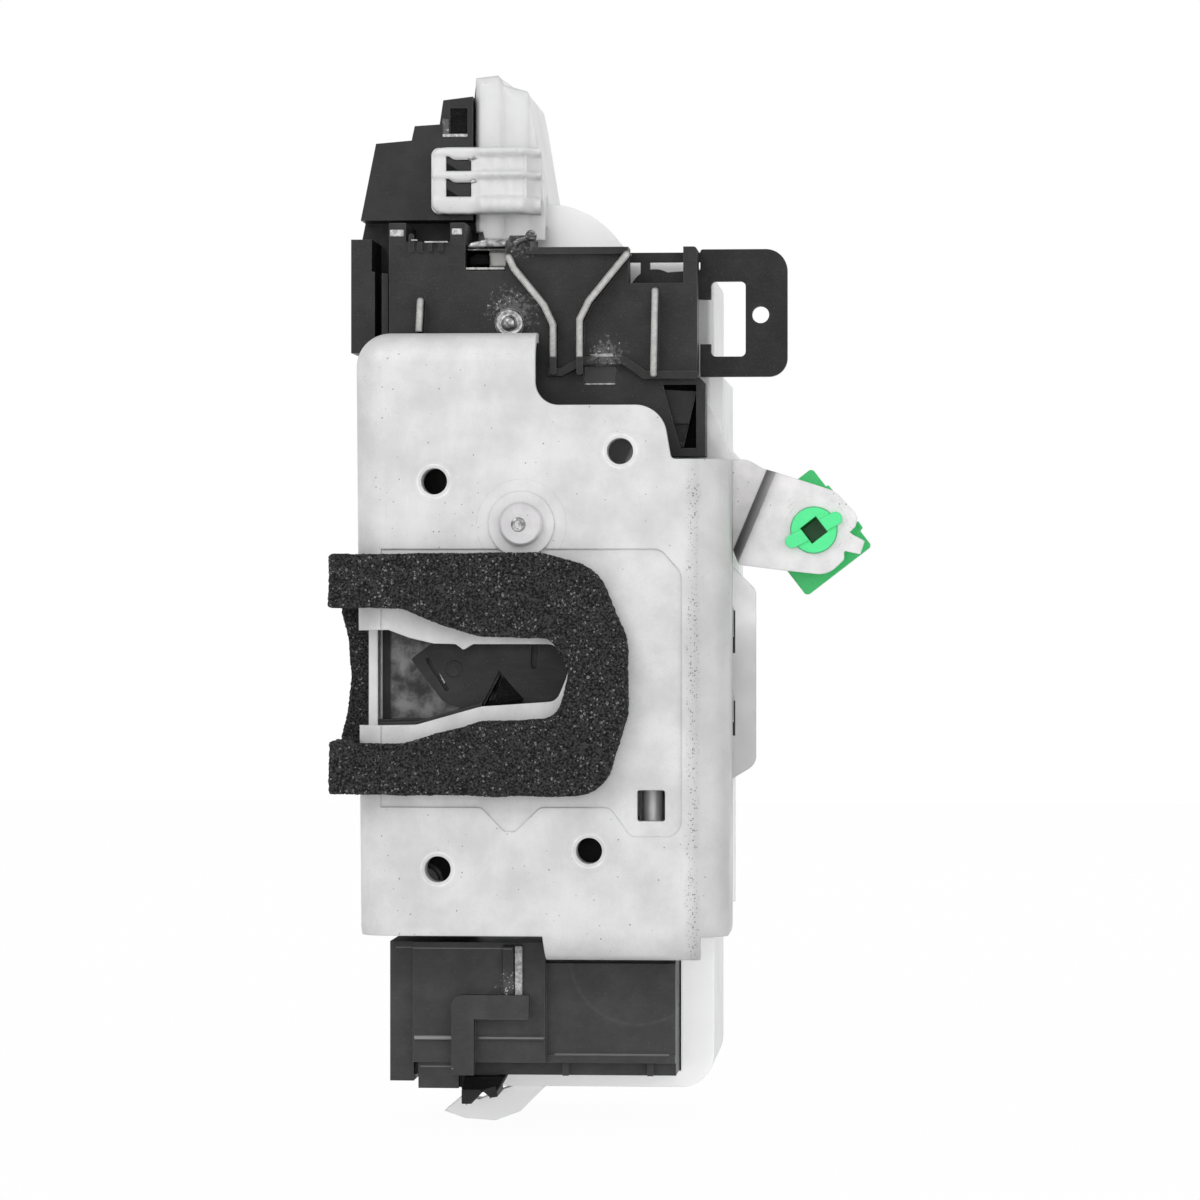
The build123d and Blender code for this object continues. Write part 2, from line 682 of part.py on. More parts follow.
def loop_windows():
    return [(60.9, 63.8), (55.9, 59.4)]


def actuator_base(shell):
    base = left_half(shell, parting - gasket_half)
    base += slab(top_block_outline(0), block_front, module_front + 0.5)
    base -= slab(top_block_outline(wall), block_front + wall, module_front)
    base -= block(0.9, 4.2, 15, block_front + wall - 0.4, 68.3, 73.3)
    for low, high in loop_windows():
        hook = face_of((0.9, low + 0.5), (4.6, low + 0.5), (4.6, high - 0.5), (0.9, high - 0.5), (2.2, (low + high) / 2))
        base += slab(hook, block_front - 1.6, block_front + 0.5)
    for x, z in [module_screw_places()[0], module_screw_places()[2]]:
        base += pin_along_y(x, z, 3.4, back_rear, module_front + 9)
        base -= pin_along_y(x, z, screw_shank + 0.02, back_rear - 1, module_front + 8)
    base += [block(module_left - 1.2, module_left + 0.5, y, y + 1.4, -84, 22) for y in (33.0, 70.0)]
    base -= pin_along_x(52, 12, 2.56, -20, -9)
    base -= pin_along_x(50, -35, 2.56, -20, -9)
    base += [pin_along_x(52, 12, 5.5, module_left, module_left + wall + 3)]
    base += [pin_along_x(50, -35, 5.5, module_left, module_left + wall + 3)]
    base -= pin_along_x(52, 12, 2.56, -20, 0)
    base -= pin_along_x(50, -35, 2.56, -20, 0)
    base += motor_cradle()
    return base


def motor_cradle():
    floor = block(-6.5, parting - gasket_half, module_front + 1, 57, 48.2, 49.8)
    return floor - pin_along_z(2.0, wheel_mid, 3.2, 40, 60)


def actuator_cover(shell):
    edge = parting + gasket_half
    cover = right_half(shell, edge)
    column = [(edge, 50.5), (edge, 79.2, 1), (10.1, 79.7, 1.5), (13.1, 77.5, 1), (16.0, 76.5, 1), (19.2, 57),
              (19.2, 50.5)]
    cover += slab(face_of(*column), column_front, module_front + 0.5)
    cover -= slab(face_of(*inset(column, wall)), column_front + wall, module_front)
    comb = face_of((-2.6, 52.6, 1.5), (16.1, 52.6), (16.1, 65.4), (-2.6, 65.4, 1.5))
    comb -= [rect(0.3, 5.2, low, high) for low, high in loop_windows()]
    cover += slab(comb, block_front - run - 1.8, block_front - run)
    for low, high in ((52.6, 55.2), (59.7, 60.7), (64.1, 65.4)):
        cover += block(parting + 0.6, 15.6, block_front - 1, column_front + 0.5, low, high)
    tray = face_of((edge, conn_top), (cover_low_right, conn_top), (cover_low_right, cover_low_bottom, 6.5),
                   (edge + 9, cover_low_bottom), (edge, cover_low_bottom))
    room = face_of((-20, conn_top + 1), (conn_right + run, conn_top + 1), (conn_right + run, conn_bottom - run),
                   (-20, conn_bottom - run))
    cover += slab(tray, module_front - 1, cover_low_back) - slab(room, 0, cover_low_back - wall)
    cover += block(edge, cover_low_right, module_front, cover_low_back, conn_top, module_floor)
    flap = face_of((-1.1, -123.1), (2.1, -120.4), (6.0, -120.8), (10.0, -119.0), (edge + 10, cover_low_bottom + 1),
                   (18.8, -118.2), (13.9, -123.1, 2), (9.0, -124.9, 2), (3.1, -124.5, 1))
    cover += slab(flap, module_front, module_front + 5)
    for x, z in [module_screw_places()[1], module_screw_places()[3]]:
        cover += pin_along_y(x, z, 3.4, back_rear, module_front + 9)
        cover -= pin_along_y(x, z, screw_shank + 0.02, back_rear - 1, module_front + 8)
    cover += pin_along_y(wheel_x, wheel_z, 3.6, module_front + 1, wheel_mid - wheel_width / 2 - pinion_width - 0.5)
    cover += pin_along_y(wheel_x, wheel_z, 3.6, wheel_mid + wheel_width / 2 + 0.3, module_back - wall + 0.5)
    cover -= pin_along_y(wheel_x, wheel_z, axle_radius + 0.03, module_front + 1.2, wheel_mid + 10)
    cover += pin_along_y(key_x, key_z, 4.4, module_front + 1, module_front + 6)
    cover -= pin_along_y(key_x, key_z, key_shaft_radius + 0.06, 20, module_front + 10)
    for y in (51.0, 66.0):
        cover += block(cover_low_right - 2, cover_low_right + 2.6, y, y + 1.4, -84, -46)
    cover += [block(46.2, 49.5, module_front + 1, 43.6, z, z + 2) for z in (-44.0, 14.0)]
    return cover


def module_gasket(shell):
    return shell & block(parting - gasket_half, parting + gasket_half, -20, 120, -200, 200)


def module_screws():
    group = []
    for x, z in module_screw_places():
        head = pin_along_y(x, z, 3.2, back_front - 2.4, back_front)
        head -= slab(Pos(x, z) * RegularPolygon(1.5, 6), back_front - 3, back_front - 1.2)
        group.append(head + pin_along_y(x, z, screw_shank, back_front - 0.1, module_front + 7))
    return group


# Motor and gears
def motor_axis():
    return wheel_x - wheel_teeth * gear_module / 2 - worm_pitch_radius


def motor_can():
    x = motor_axis()
    can = pin_along_z(x, wheel_mid, 10.0, 50.0, 63.8)
    can &= block(x - 7.6, x + 7.6, wheel_mid - 11, wheel_mid + 11, 40, 90)
    can += pin_along_z(x, wheel_mid, 3.0, 48.6, 50.1)
    return can - pin_along_z(x, wheel_mid, 1.06, 40, 62.4)


def motor_cap():
    x = motor_axis()
    cap = pin_along_z(x, wheel_mid, 9.6, 63.8, 65.0)
    return cap & block(x - 7.2, x + 7.2, wheel_mid - 11, wheel_mid + 11, 40, 90)


def motor_blades():
    x = motor_axis()
    return [block(x - 1.2, x + 1.2, wheel_mid + side * 6.0 - 0.25, wheel_mid + side * 6.0 + 0.25, 65.0, 67.6)
            for side in (-1, 1)]


def motor_shaft():
    return pin_along_z(motor_axis(), wheel_mid, 1.0, 25.0, 62.0)


def worm():
    x = motor_axis()
    pitch = math.pi * gear_module
    length = 6 * pitch
    low = wheel_z - length / 2
    path = Helix(pitch=pitch, height=length, radius=worm_root - 0.1, center=(0, 0, 0))
    profile = make_face(Polyline((-0.3, -0.95), (worm_outer - worm_root + 0.1, -0.3),
                                 (worm_outer - worm_root + 0.1, 0.3), (-0.3, 0.95), close=True))
    thread = sweep(Plane(path @ 0, x_dir=(1, 0, 0), z_dir=path % 0) * profile, path=path, is_frenet=True)
    body = Cylinder(worm_root, length + 2, align=(Align.CENTER, Align.CENTER, Align.MIN))
    body = Pos(0, 0, -1) * body + thread
    body -= Cylinder(1.02, 100)
    return Pos(x, wheel_mid, low) * body


def worm_wheel():
    front = wheel_mid - wheel_width / 2
    wheel = slab(Pos(wheel_x, wheel_z) * Rot(0, 0, 180 / wheel_teeth) * gear_outline(wheel_teeth, 0.40), front,
                 wheel_mid + wheel_width / 2)
    wheel -= slab(disc(wheel_x, wheel_z, 11.2) - disc(wheel_x, wheel_z, 4.6), wheel_mid + 0.8, wheel_mid + 5)
    wheel += slab(Pos(wheel_x, wheel_z) * gear_outline(pinion_teeth, 0.40), front - pinion_width, front + 0.1)
    return wheel - pin_along_y(wheel_x, wheel_z, axle_radius + gear_gap, 0, 80)


def wheel_axle():
    return pin_along_y(wheel_x, wheel_z, axle_radius, module_front + 1.3, wheel_mid + 9.5)


def lock_lever():
    front = wheel_mid - wheel_width / 2 - pinion_width + 0.2
    back = wheel_mid - wheel_width / 2 - 0.3
    half_pitch = 180 / sector_teeth
    toward = math.degrees(math.atan2(wheel_z - key_z, wheel_x - key_x))
    gear = Pos(key_x, key_z) * Rot(0, 0, toward + half_pitch) * gear_outline(sector_teeth, 0.40)
    window = Pos(key_x, key_z) * face_of((0, 0), polar(40, 168), polar(40, 195), polar(40, 223))
    lever = (gear & window) + disc(key_x, key_z, key_hub) + strip([(key_x, key_z), (47.4, 35.2)], 3.4)
    body = slab(lever, front, back)
    body += pin_along_y(47.4, 35.2, 1.2, back - 0.1, 46.6)
    return body - pin_along_y(key_x, key_z, key_shaft_radius + gear_gap, 0, 80)


def lock_rod():
    bar = block(46.4, 49.4, 43.9, 46.3, -52.0, 36.0)
    bar += block(42.6, 49.9, 43.9, 46.3, 31.5, 38.6)
    return bar - slab(strip([(45.2, 35.2), (47.5, 35.2)], 3.0), 40, 50)


# Key lever
def key_lever():
    plate = face_of((49.8, 45.4, 0.5), (66.7, 45.4, 4.2), (66.7, 20.7, 3.6), (49.8, 20.7))
    arm = face_of((key_x - 3, key_z + 4), (51, 41.5), (51, 29.5), (key_x + 1, key_z - 4.9))
    rail = face_of((35.2, 43.0), (51, 43.0), (51, 44.8), (35.2, 44.8))
    post = rect(38.2, 40.0, key_z, 44.0)
    shape = plate + arm + rail + post + disc(key_x, key_z, key_boss)
    shape -= face_of((51.9, 39.2, 1), (58.6, 39.2, 1), (58.6, 24.6, 1), (51.9, 24.6, 1))
    shape -= rect(49.0, 53, 27.0, 35.7)
    shape -= disc(61.5, 32.7, rod_hole)
    lever = slab(shape, key_front, key_front + key_sheet)
    return lever - pin_along_y(key_x, key_z, key_shaft_radius, 0, 60)


def key_shaft():
    return pin_along_y(key_x, key_z, key_shaft_radius, key_front - 1.5, wheel_mid - 2.8)


# Water shield with its funnel ribs
def shield_outline():
    return face_of(
        (-10, 50.2), (-6.7, 50.2), (-6.7, 46.5), (1.9, 46.5), (1.9, 50.2), (4.8, 50.2), (4.8, 40.9), (12.6, 40.9),
        (12.6, 45.7), (13.4, 47.7), (17.4, 47.7), (17.4, 45.4), (36.3, 45.4), (36.3, 38.4), (46.9, 38.4),
        (46.9, 45.4), (49.6, 45.4, 0.8), (49.6, 20.7), (51.2, 19.0), (51.2, 5.0), (-10, 5.0))


def shield_hollow():
    w = shield_wall
    return face_of(
        (-10 + w, 46.5 - w), (4.8 - w, 46.5 - w), (4.8 - w, 40.9 - w), (12.6 + w, 40.9 - w), (12.6 + w, 45.4 - w),
        (36.3 - w, 45.4 - w), (36.3 - w, 38.4 - w), (49.6 - w, 38.4 - w), (49.6 - w, 20.0), (51.2 - w, 18.4),
        (51.2 - w, 5.0 + w), (-10 + w, 5.0 + w))


def rib_lines():
    return [
        [(13.5, 43.2), (14.6, 41.0), (20.4, 33.9), (22.1, 30.2), (22.1, 21.2)],
        [(36.3, 43.7), (29.0, 34.8), (27.2, 31.2), (27.2, 21.2)],
        [(41.7, 36.6), (41.4, 20.8)],
        [(-3.5, 34.9), (-3.8, 29.1)]]


def water_shield():
    back = shield_front + shield_sheet
    body = slab(shield_outline(), shield_front, module_front - 0.2)
    body -= slab(shield_hollow(), back, module_front + 5)
    body -= block(33.0, 80, key_front - run - 0.6, 60, -10, 80)
    body -= block(-60, 80, 19.7, 60, -10, 19.6)
    body += [slab(strip(line, rib_width), rib_front, back) for line in rib_lines()]
    body += slab(strip([(17.4, 44.6), (35.6, 44.6)], 1.4), shield_front - 1.5, back)
    body += slab(strip([(18.2, 21.2), (23.5, 21.2), (28, 23.4), (35.6, 23.4), (39.6, 20.6), (49.2, 20.6)], 1.5),
                 rib_front + 1.5, back)
    body -= slab(rect(27.8, 33.9, 19.1, 22.4), 0, back + 1)
    body -= slab(face_of((43.0, 18.8), (49.4, 18.8), (49.4, 6.6), (46.4, 6.6)), 0, back + 1)
    body += slab(strip([(-5.6, 47.6), (-5.6, 45)], 1.0), shield_front - 0.6, back)
    body += [slab(rect(x, x + 0.9, 44.6, 46.5), shield_front - 0.8, back) for x in (-4.4, -2.4, -0.4)]
    body -= block(-60, 21.0, 0, shield_front, 0, 29.0)
    body += slab(disc(key_x, key_z, key_boss - 0.6) & rect(30, 50, 20, 38.2), back - 0.1, key_front - run)
    body -= pin_along_y(key_x, key_z, key_shaft_radius + 0.06, back + 1, 40)
    body -= pin_along_y(35.5, 5.7, 4.0, 0, 60)
    body -= pin_along_y(13.5, 30.7, 1.9, 0, 60)
    return body


def shield_rivet():
    pin = pin_along_y(13.5, 30.7, 1.8, shield_front - 0.2, module_front - 0.1)
    return pin + pin_along_y(13.5, 30.7, 2.8, shield_front - 1.4, shield_front)


def drain_chute():
    front = shield_front + shield_sheet + 0.1
    chute = slab(face_of((42.0, 18.0), (49.4, 17.6), (46.9, 6.8), (42.0, 6.8)), front, front + 2.6)
    return chute - slab(face_of((42.9, 11.4), (48.0, 11.4), (46.9, 7.8), (43.2, 7.8)), front - 1, front + 1.2)


# Bracket that holds the two inner handle cables, on the left of the base
def cable_bracket():
    outline = face_of((-17.6, 25.2), (-17.6, 47.2), (-13.6, 47.2), (-13.6, 41), (-10.4, 40.5), (-10.4, 25.2))
    body = slab(outline, 14, module_front - 0.1)
    body -= slab(rect(-13.0, -11.6, 26.5, 42), 10, 24)
    body += block(-17.6, module_left - 0.1, module_front - 0.1, 44, 25.2, 47.2)
    body -= [block(-18, module_left, 38, 45, z - 2.1, z + 2.1) for z in (31.0, 41.0)]
    return body


# Inner handle levers on the left wall of the base, turning about X
def inner_lever(y, z, up, down, width):
    left = module_left - 3.4
    shape = disc(y, z, 5.0) + strip([(y, z), (y - 2, z + up)], width) + strip([(y, z), (y + 3, z - down)], width)
    shape -= disc(y, z, 2.5 + shank_gap)
    shape -= disc(y - 2, z + up, 1.6)
    return side_slab(shape, left, left + 2.0)


def inner_rivet(y, z):
    rivet = pin_along_x(y, z, 2.5, module_left - 4.4, module_left + wall + 2)
    rivet += pin_along_x(y, z, 4.0, module_left - 4.6, module_left - 3.6)
    return rivet + pin_along_x(y, z, 3.6, module_left - 1.2, module_left)


# Connector housing under the plates
def connector_housing():
    body = block(conn_left, conn_right, 16, conn_back, conn_bottom, conn_top)
    body += block(conn_left, -5.4, 14, 30, -115.6, conn_top)
    body += block(-5.4, 20.3, conn_front, 20, -111.8, conn_top)
    body += block(-4.4, 3.4, conn_front + 1, 20, -116.9, -111.0)
    body += block(20.3, conn_right, 14, 20, -110.4, -92.7)
    body += block(20.3, conn_right, 13.4, 20, -111.9, -110.4)
    body += [block(x, x + 1.2, 14.5, 17, conn_bottom, -111.5) for x in (23.4, 39.8)]
    body += slab(face_of((2.4, -98.6, 2.2), (17.3, -98.6), (17.3, -103.2), (6.7, -103.2), (6.7, -114.0), (2.4, -114.0)),
                 9.0, conn_front + 1)
    body += [block(x, x + 0.9, conn_front - 0.8, conn_front + 1, -98.7, -89.2) for x in (12.4, 14.6)]
    body += block(-5.0, 20.0, conn_front - 0.6, conn_front + 1, -107.4, -106.7)
    body += [slab(face_of((3.5, -116.5), (6.4, -116.5), (6.4, -118.2), (4.6, -120.5)), 16, 19),
             slab(face_of((8.5, -114.4), (10.3, -114.4), (10.3, -117.6), (9.2, -119.3)), 16, 19)]
    body += block(3.4, 11, 16, 20, -117.0, conn_bottom + 1)
    body -= block(conn_left - 5, 8.0, 34.0, 58.0, -111.5, -92.0)
    body -= [block(6, 20, y - 0.42, y + 0.42, z - 1.25, z + 1.25) for y, z in terminal_places()]
    return body


def terminal_places():
    return [(37.5 + 3.4 * column, -97.5 - 8.5 * row) for column in range(6) for row in range(2)]


def connector_terminals():
    return [block(-3.0, 19.5, y - 0.4, y + 0.4, z - 1.2, z + 1.2) for y, z in terminal_places()]


def connector_seal():
    outer = rect(34.0 + 0.05, 58.0 - 0.05, -111.45, -92.05)
    ring = side_slab(outer - rect(35.6, 56.4, -109.9, -93.6), 5.4, 7.9)
    return ring


# Conductors from the connector up to the motor and the position switch
def leadframe():
    x = module_left + wall
    tracks = []
    for order, top in enumerate((64.0, 60.0, 20.0, 14.0)):
        y = 32.4 + 2.8 * order
        tracks.append(block(x, x + 0.8, y, y + 1.6, module_floor + wall + 2, top))
    return tracks


def position_switch():
    return block(module_left + wall + 0.8, 3.0, 45.5, 55.5, -14.0, -5.5)


def write(name, body):
    pieces = body if isinstance(body, list) else [body]
    solids = [solid for piece in pieces for solid in piece.solids()]
    shape = solids[0] if len(solids) == 1 else Compound(children=solids)
    export_step(shape, os.path.join("parts", name + ".step"))


def main():
    os.makedirs("parts", exist_ok=True)
    shell = module_shell()
    nodes = {
        "face_plate": face_plate(),
        "foam_seal": foam_seal(),
        "back_plate": back_plate(),
        "latch_housing": latch_housing(),
        "throat_bumper": throat_bumper(),
        "fork_rivet": fork_rivet(),
        "pawl_rivet": pawl_rivet(),
        "fork_core": fork_core(),
        "fork_overmould": fork_overmould(),
        "fork_spring": fork_spring(),
        "pawl_core": pawl_core(),
        "pawl_overmould": pawl_coat(),
        "pawl_peg": pawl_peg(),
        "pawl_spring": pawl_spring(),
        "window_pin": window_pin(),
        "lock_crank": lock_crank(),
        "ajar_switch": ajar_switch(),
        "ajar_plunger": ajar_plunger(),
        "outside_release_lever": release_lever(),
        "lever_link_pin": lever_link_pin(),
        "lever_rivet": lever_rivet(),
        "lever_spring": lever_spring(),
        "rod_clip": rod_clip(),
        "release_link": release_link(),
        "link_guide_pin": link_guide_pin(),
        "actuator_base": actuator_base(shell),
        "actuator_cover": actuator_cover(shell),
        "module_gasket": module_gasket(shell),
        "module_screws": module_screws(),
        "motor_can": motor_can(),
        "motor_cap": motor_cap(),
        "motor_blades": motor_blades(),
        "motor_shaft": motor_shaft(),
        "motor_worm": worm(),
        "worm_wheel": worm_wheel(),
        "wheel_axle": wheel_axle(),
        "lock_lever": lock_lever(),
        "lock_rod": lock_rod(),
        "key_lever": key_lever(),
        "key_shaft": key_shaft(),
        "water_shield": water_shield(),
        "shield_rivet": shield_rivet(),
        "drain_chute": drain_chute(),
        "cable_bracket": cable_bracket(),
        "inside_release_lever": inner_lever(52, 12, 16, 12, 6.0),
        "inside_release_rivet": inner_rivet(52, 12),
        "inside_lock_lever": inner_lever(50, -35, 14, 10, 5.0),
        "inside_lock_rivet": inner_rivet(50, -35),
        "connector_housing": connector_housing(),
        "connector_terminals": connector_terminals(),
        "connector_seal": connector_seal(),
        "leadframe": leadframe(),
        "position_switch": position_switch(),
    }
    for name, body in nodes.items():
        write(name, body)


main()
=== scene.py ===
# %% [markdown]
# # A side-door latch with its lock motor
# The CAD gives every rigid piece at its real size. This lesson dresses it: metals, plastics and foam get
# procedural finishes, and small moulded or worn details, with some painted highlights and painted shadows,
# become meshes that ride on the CAD bodies.
# Everything is in metres, in the CAD's frame: X to the right of the plate, Y into the door, Z up, and the
# origin on the upper inner bolt hole.

# %% Load the imported model
import json
import math

import bmesh
import bpy
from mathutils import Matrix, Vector, noise


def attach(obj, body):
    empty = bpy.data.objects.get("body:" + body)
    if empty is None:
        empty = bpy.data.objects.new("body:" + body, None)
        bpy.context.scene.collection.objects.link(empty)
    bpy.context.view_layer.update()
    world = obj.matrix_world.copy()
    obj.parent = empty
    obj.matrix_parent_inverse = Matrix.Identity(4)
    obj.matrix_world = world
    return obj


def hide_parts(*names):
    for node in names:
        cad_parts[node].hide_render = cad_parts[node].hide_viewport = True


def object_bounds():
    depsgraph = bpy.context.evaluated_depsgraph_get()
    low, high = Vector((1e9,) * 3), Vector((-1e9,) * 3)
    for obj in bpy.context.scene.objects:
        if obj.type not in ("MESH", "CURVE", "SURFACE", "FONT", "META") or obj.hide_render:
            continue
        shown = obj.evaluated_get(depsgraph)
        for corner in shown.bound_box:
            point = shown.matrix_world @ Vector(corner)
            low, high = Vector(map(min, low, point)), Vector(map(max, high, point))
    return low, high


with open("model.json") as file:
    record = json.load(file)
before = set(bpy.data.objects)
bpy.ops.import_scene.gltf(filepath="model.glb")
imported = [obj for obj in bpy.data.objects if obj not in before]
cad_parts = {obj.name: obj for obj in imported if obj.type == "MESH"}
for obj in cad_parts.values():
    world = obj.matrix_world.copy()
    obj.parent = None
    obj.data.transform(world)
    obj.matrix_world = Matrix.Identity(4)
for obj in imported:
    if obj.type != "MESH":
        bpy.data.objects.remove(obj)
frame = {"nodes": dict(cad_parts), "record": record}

MM = 0.001
scene = bpy.context.scene
cad_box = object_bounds()
nodes = frame["nodes"]

# %% [markdown]
# ## Camera
# The latch was photographed face on with a long lens, from four degrees to the right. A long lens keeps the
# plate's edges parallel, so the camera stands 900 mm away and sees a field 228 mm wide.

# %% Camera
field = 228 * MM
distance = 900 * MM
turn = math.radians(4)
sensor = 36
aim = Vector((31.7, 0, -22.6)) * MM

camera_data = bpy.data.cameras.new("studio_camera")
camera_data.sensor_width = sensor
camera_data.lens = sensor * distance / field
camera = bpy.data.objects.new("studio_camera", camera_data)
camera.location = aim + distance * Vector((math.sin(turn), -math.cos(turn), 0))
camera.rotation_euler = (math.pi / 2, 0, turn)
scene.collection.objects.link(camera)
scene.camera = camera
scene.view_settings.view_transform = "Standard"
print("lens", round(camera_data.lens), "mm")

# %% [markdown]
# ## Shader helpers
# A procedural finish is a small network of nodes. A few helpers keep it readable. They feed a value or a link
# into a socket, fill a node's inputs by their names, and add the nodes that every finish needs: sums, soft
# steps, mixed colours and noise. A tint lays a tone over a colour, as strongly as a mask says.

# %% Feed sockets, add sums and soft steps
def feed(tree, value, socket):
    if isinstance(value, bpy.types.NodeSocket):
        tree.links.new(value, socket)
    else:
        socket.default_value = value


def wire(tree, node, **values):
    for label, value in values.items():
        feed(tree, value, node.inputs[label.replace("_", " ")])


def maths(tree, operation, *values, clamp=False):
    node = tree.nodes.new("ShaderNodeMath")
    node.operation = operation
    node.use_clamp = clamp
    for value, socket in zip(values, node.inputs):
        feed(tree, value, socket)
    return node.outputs[0]


def times(tree, first, second):
    return maths(tree, "MULTIPLY", first, second)


def ramp(tree, value, low, high, bottom=0.0, top=1.0):
    node = tree.nodes.new("ShaderNodeMapRange")
    node.interpolation_type = "SMOOTHSTEP"
    wire(tree, node, Value=value, From_Min=low, From_Max=high, To_Min=bottom, To_Max=top)
    return node.outputs["Result"]


def vector_maths(tree, operation, first, second):
    node = tree.nodes.new("ShaderNodeVectorMath")
    node.operation = operation
    feed(tree, first, node.inputs[0])
    feed(tree, second, node.inputs[1])
    return node.outputs


# %% Colours, places and noise
def grey(level):
    return level, level, level


def mix_colour(tree, share, first, second):
    node = tree.nodes.new("ShaderNodeMix")
    node.data_type = "RGBA"
    feed(tree, share, node.inputs[0])
    for value, socket in ((first, node.inputs[6]), (second, node.inputs[7])):
        feed(tree, (*value, 1) if isinstance(value, tuple) else value, socket)
    return node.outputs[2]


def tint(tree, colour, mask, strength, tone):
    return mix_colour(tree, times(tree, mask, strength), colour, tone)


def place_of(tree, x=0.0, y=0.0, z=0.0, stretch=(1, 1, 1)):
    coordinates = tree.nodes.new("ShaderNodeTexCoord")
    mapping = tree.nodes.new("ShaderNodeMapping")
    offset = (-x * stretch[0], -y * stretch[1], -z * stretch[2])
    wire(tree, mapping, Vector=coordinates.outputs["Object"], Location=offset, Scale=stretch)
    return mapping.outputs["Vector"]


def noise_of(tree, size, detail=2.0, roughness=0.5, vector=None):
    node = tree.nodes.new("ShaderNodeTexNoise")
    place = place_of(tree) if vector is None else vector
    wire(tree, node, Vector=place, Scale=maths(tree, "DIVIDE", 1.0, size), Detail=detail, Roughness=roughness)
    return node.outputs["Fac"]


# %% [markdown]
# ## Shared effects
# Several finishes need the same effect, so each effect is a node group that is made once and placed in
# each material with its own values. A group puts out only masks, heights and normals: the Principled
# shader stays in the material.

# %% Start a node group
def start_group(name, inputs, outputs):
    print("effect:", name)
    tree = bpy.data.node_groups.new(name, "ShaderNodeTree")
    for label, value in inputs:
        kind = "NodeSocketVector" if isinstance(value, tuple) else "NodeSocketFloat"
        socket = tree.interface.new_socket(name=label, in_out="INPUT", socket_type=kind)
        socket.default_value = value
    for label in outputs:
        kind = "NodeSocketVector" if label == "Normal" else "NodeSocketFloat"
        tree.interface.new_socket(name=label, in_out="OUTPUT", socket_type=kind)
    return tree, tree.nodes.new("NodeGroupInput").outputs, tree.nodes.new("NodeGroupOutput").inputs


def add_group(tree, group, **values):
    node = tree.nodes.new("ShaderNodeGroup")
    node.node_tree = group
    wire(tree, node, **values)
    return node.outputs


# %% [markdown]
# **Grain** is the fine texture of a sparked mould or of matt zinc, with a slow cloudiness above it.

# %% Grain
grain, given, out = start_group("grain", [("Size", 0.0003), ("Cloud size", 0.008)], ["Height", "Cloud"])
grain.links.new(noise_of(grain, given["Size"], 3.0, 0.6), out["Height"])
grain.links.new(noise_of(grain, given["Cloud size"], 4.0, 0.6), out["Cloud"])

# %% [markdown]
# ** Edge highlight and rounding** compares the true normal with one rounded over a small radius. Where they
# differ there is an edge: the finishes paint a highlight there with the mask, a pale line that stands for
# light catching the edge, and the rounded normal stands for the radius that every pressed or moulded edge has.

# %% Edge highlight and rounding
edge_highlight_and_rounding, given, out = start_group("edge highlight and rounding", [("Radius", 0.0003), ("Breakup", 0.5)], ["Mask", "Normal"])
rounded = edge_highlight_and_rounding.nodes.new("ShaderNodeBevel")
rounded.samples = 4
edge_highlight_and_rounding.links.new(given["Radius"], rounded.inputs["Radius"])
true_normal = edge_highlight_and_rounding.nodes.new("ShaderNodeNewGeometry").outputs["Normal"]
alike = vector_maths(edge_highlight_and_rounding, "DOT_PRODUCT", rounded.outputs["Normal"], true_normal)["Value"]
edge = ramp(edge_highlight_and_rounding, alike, 0.99, 0.80)
patches = ramp(edge_highlight_and_rounding, noise_of(edge_highlight_and_rounding, 0.0025, 3.0), 0.35, 0.6)
kept = maths(edge_highlight_and_rounding, "SUBTRACT", 1.0, given["Breakup"])
kept = maths(edge_highlight_and_rounding, "MULTIPLY_ADD", patches, given["Breakup"], kept, clamp=True)
edge_highlight_and_rounding.links.new(times(edge_highlight_and_rounding, edge, kept), out["Mask"])
edge_highlight_and_rounding.links.new(rounded.outputs["Normal"], out["Normal"])

# %% [markdown]
# **Specks** are small pits and dirt spots. Voronoi cells give each spot its own place and size, and a slow
# noise decides where spots gather.

# %% Specks
specks, given, out = start_group("specks", [("Spacing", 0.001), ("Size", 0.2), ("Amount", 0.5)], ["Mask"])
cells = specks.nodes.new("ShaderNodeTexVoronoi")
specks.links.new(place_of(specks), cells.inputs["Vector"])
specks.links.new(maths(specks, "DIVIDE", 1.0, given["Spacing"]), cells.inputs["Scale"])
own = specks.nodes.new("ShaderNodeSeparateColor")
specks.links.new(cells.outputs["Color"], own.inputs["Color"])
reach = times(specks, own.outputs["Red"], given["Size"])
spot = ramp(specks, maths(specks, "SUBTRACT", cells.outputs["Distance"], reach), 0.03, -0.03)
gathered = noise_of(specks, times(specks, given["Spacing"], 9.0), 2.0)
dense = maths(specks, "ADD", gathered, given["Amount"])
chosen = ramp(specks, maths(specks, "SUBTRACT", dense, own.outputs["Green"]), 0.0, 0.05)
specks.links.new(times(specks, spot, chosen), out["Mask"])

# %% [markdown]
# **Rub marks** are faint lines along one direction, from drawing, brushing or sliding. Noise stretched
# along that direction gives them.

# %% Rub marks
rub, given, out = start_group("rub marks", [("Stretch", (1.0, 1.0, 1.0)), ("Size", 0.001)], ["Mask"])
stretched = vector_maths(rub, "MULTIPLY", place_of(rub), given["Stretch"])["Vector"]
lines = noise_of(rub, given["Size"], 4.0, 0.7, stretched)
rub.links.new(ramp(rub, lines, 0.52, 0.72), out["Mask"])

# %% [markdown]
# **Grease** gathers round a pin or a rivet: a ball-shaped patch with a ragged border, wet inside.

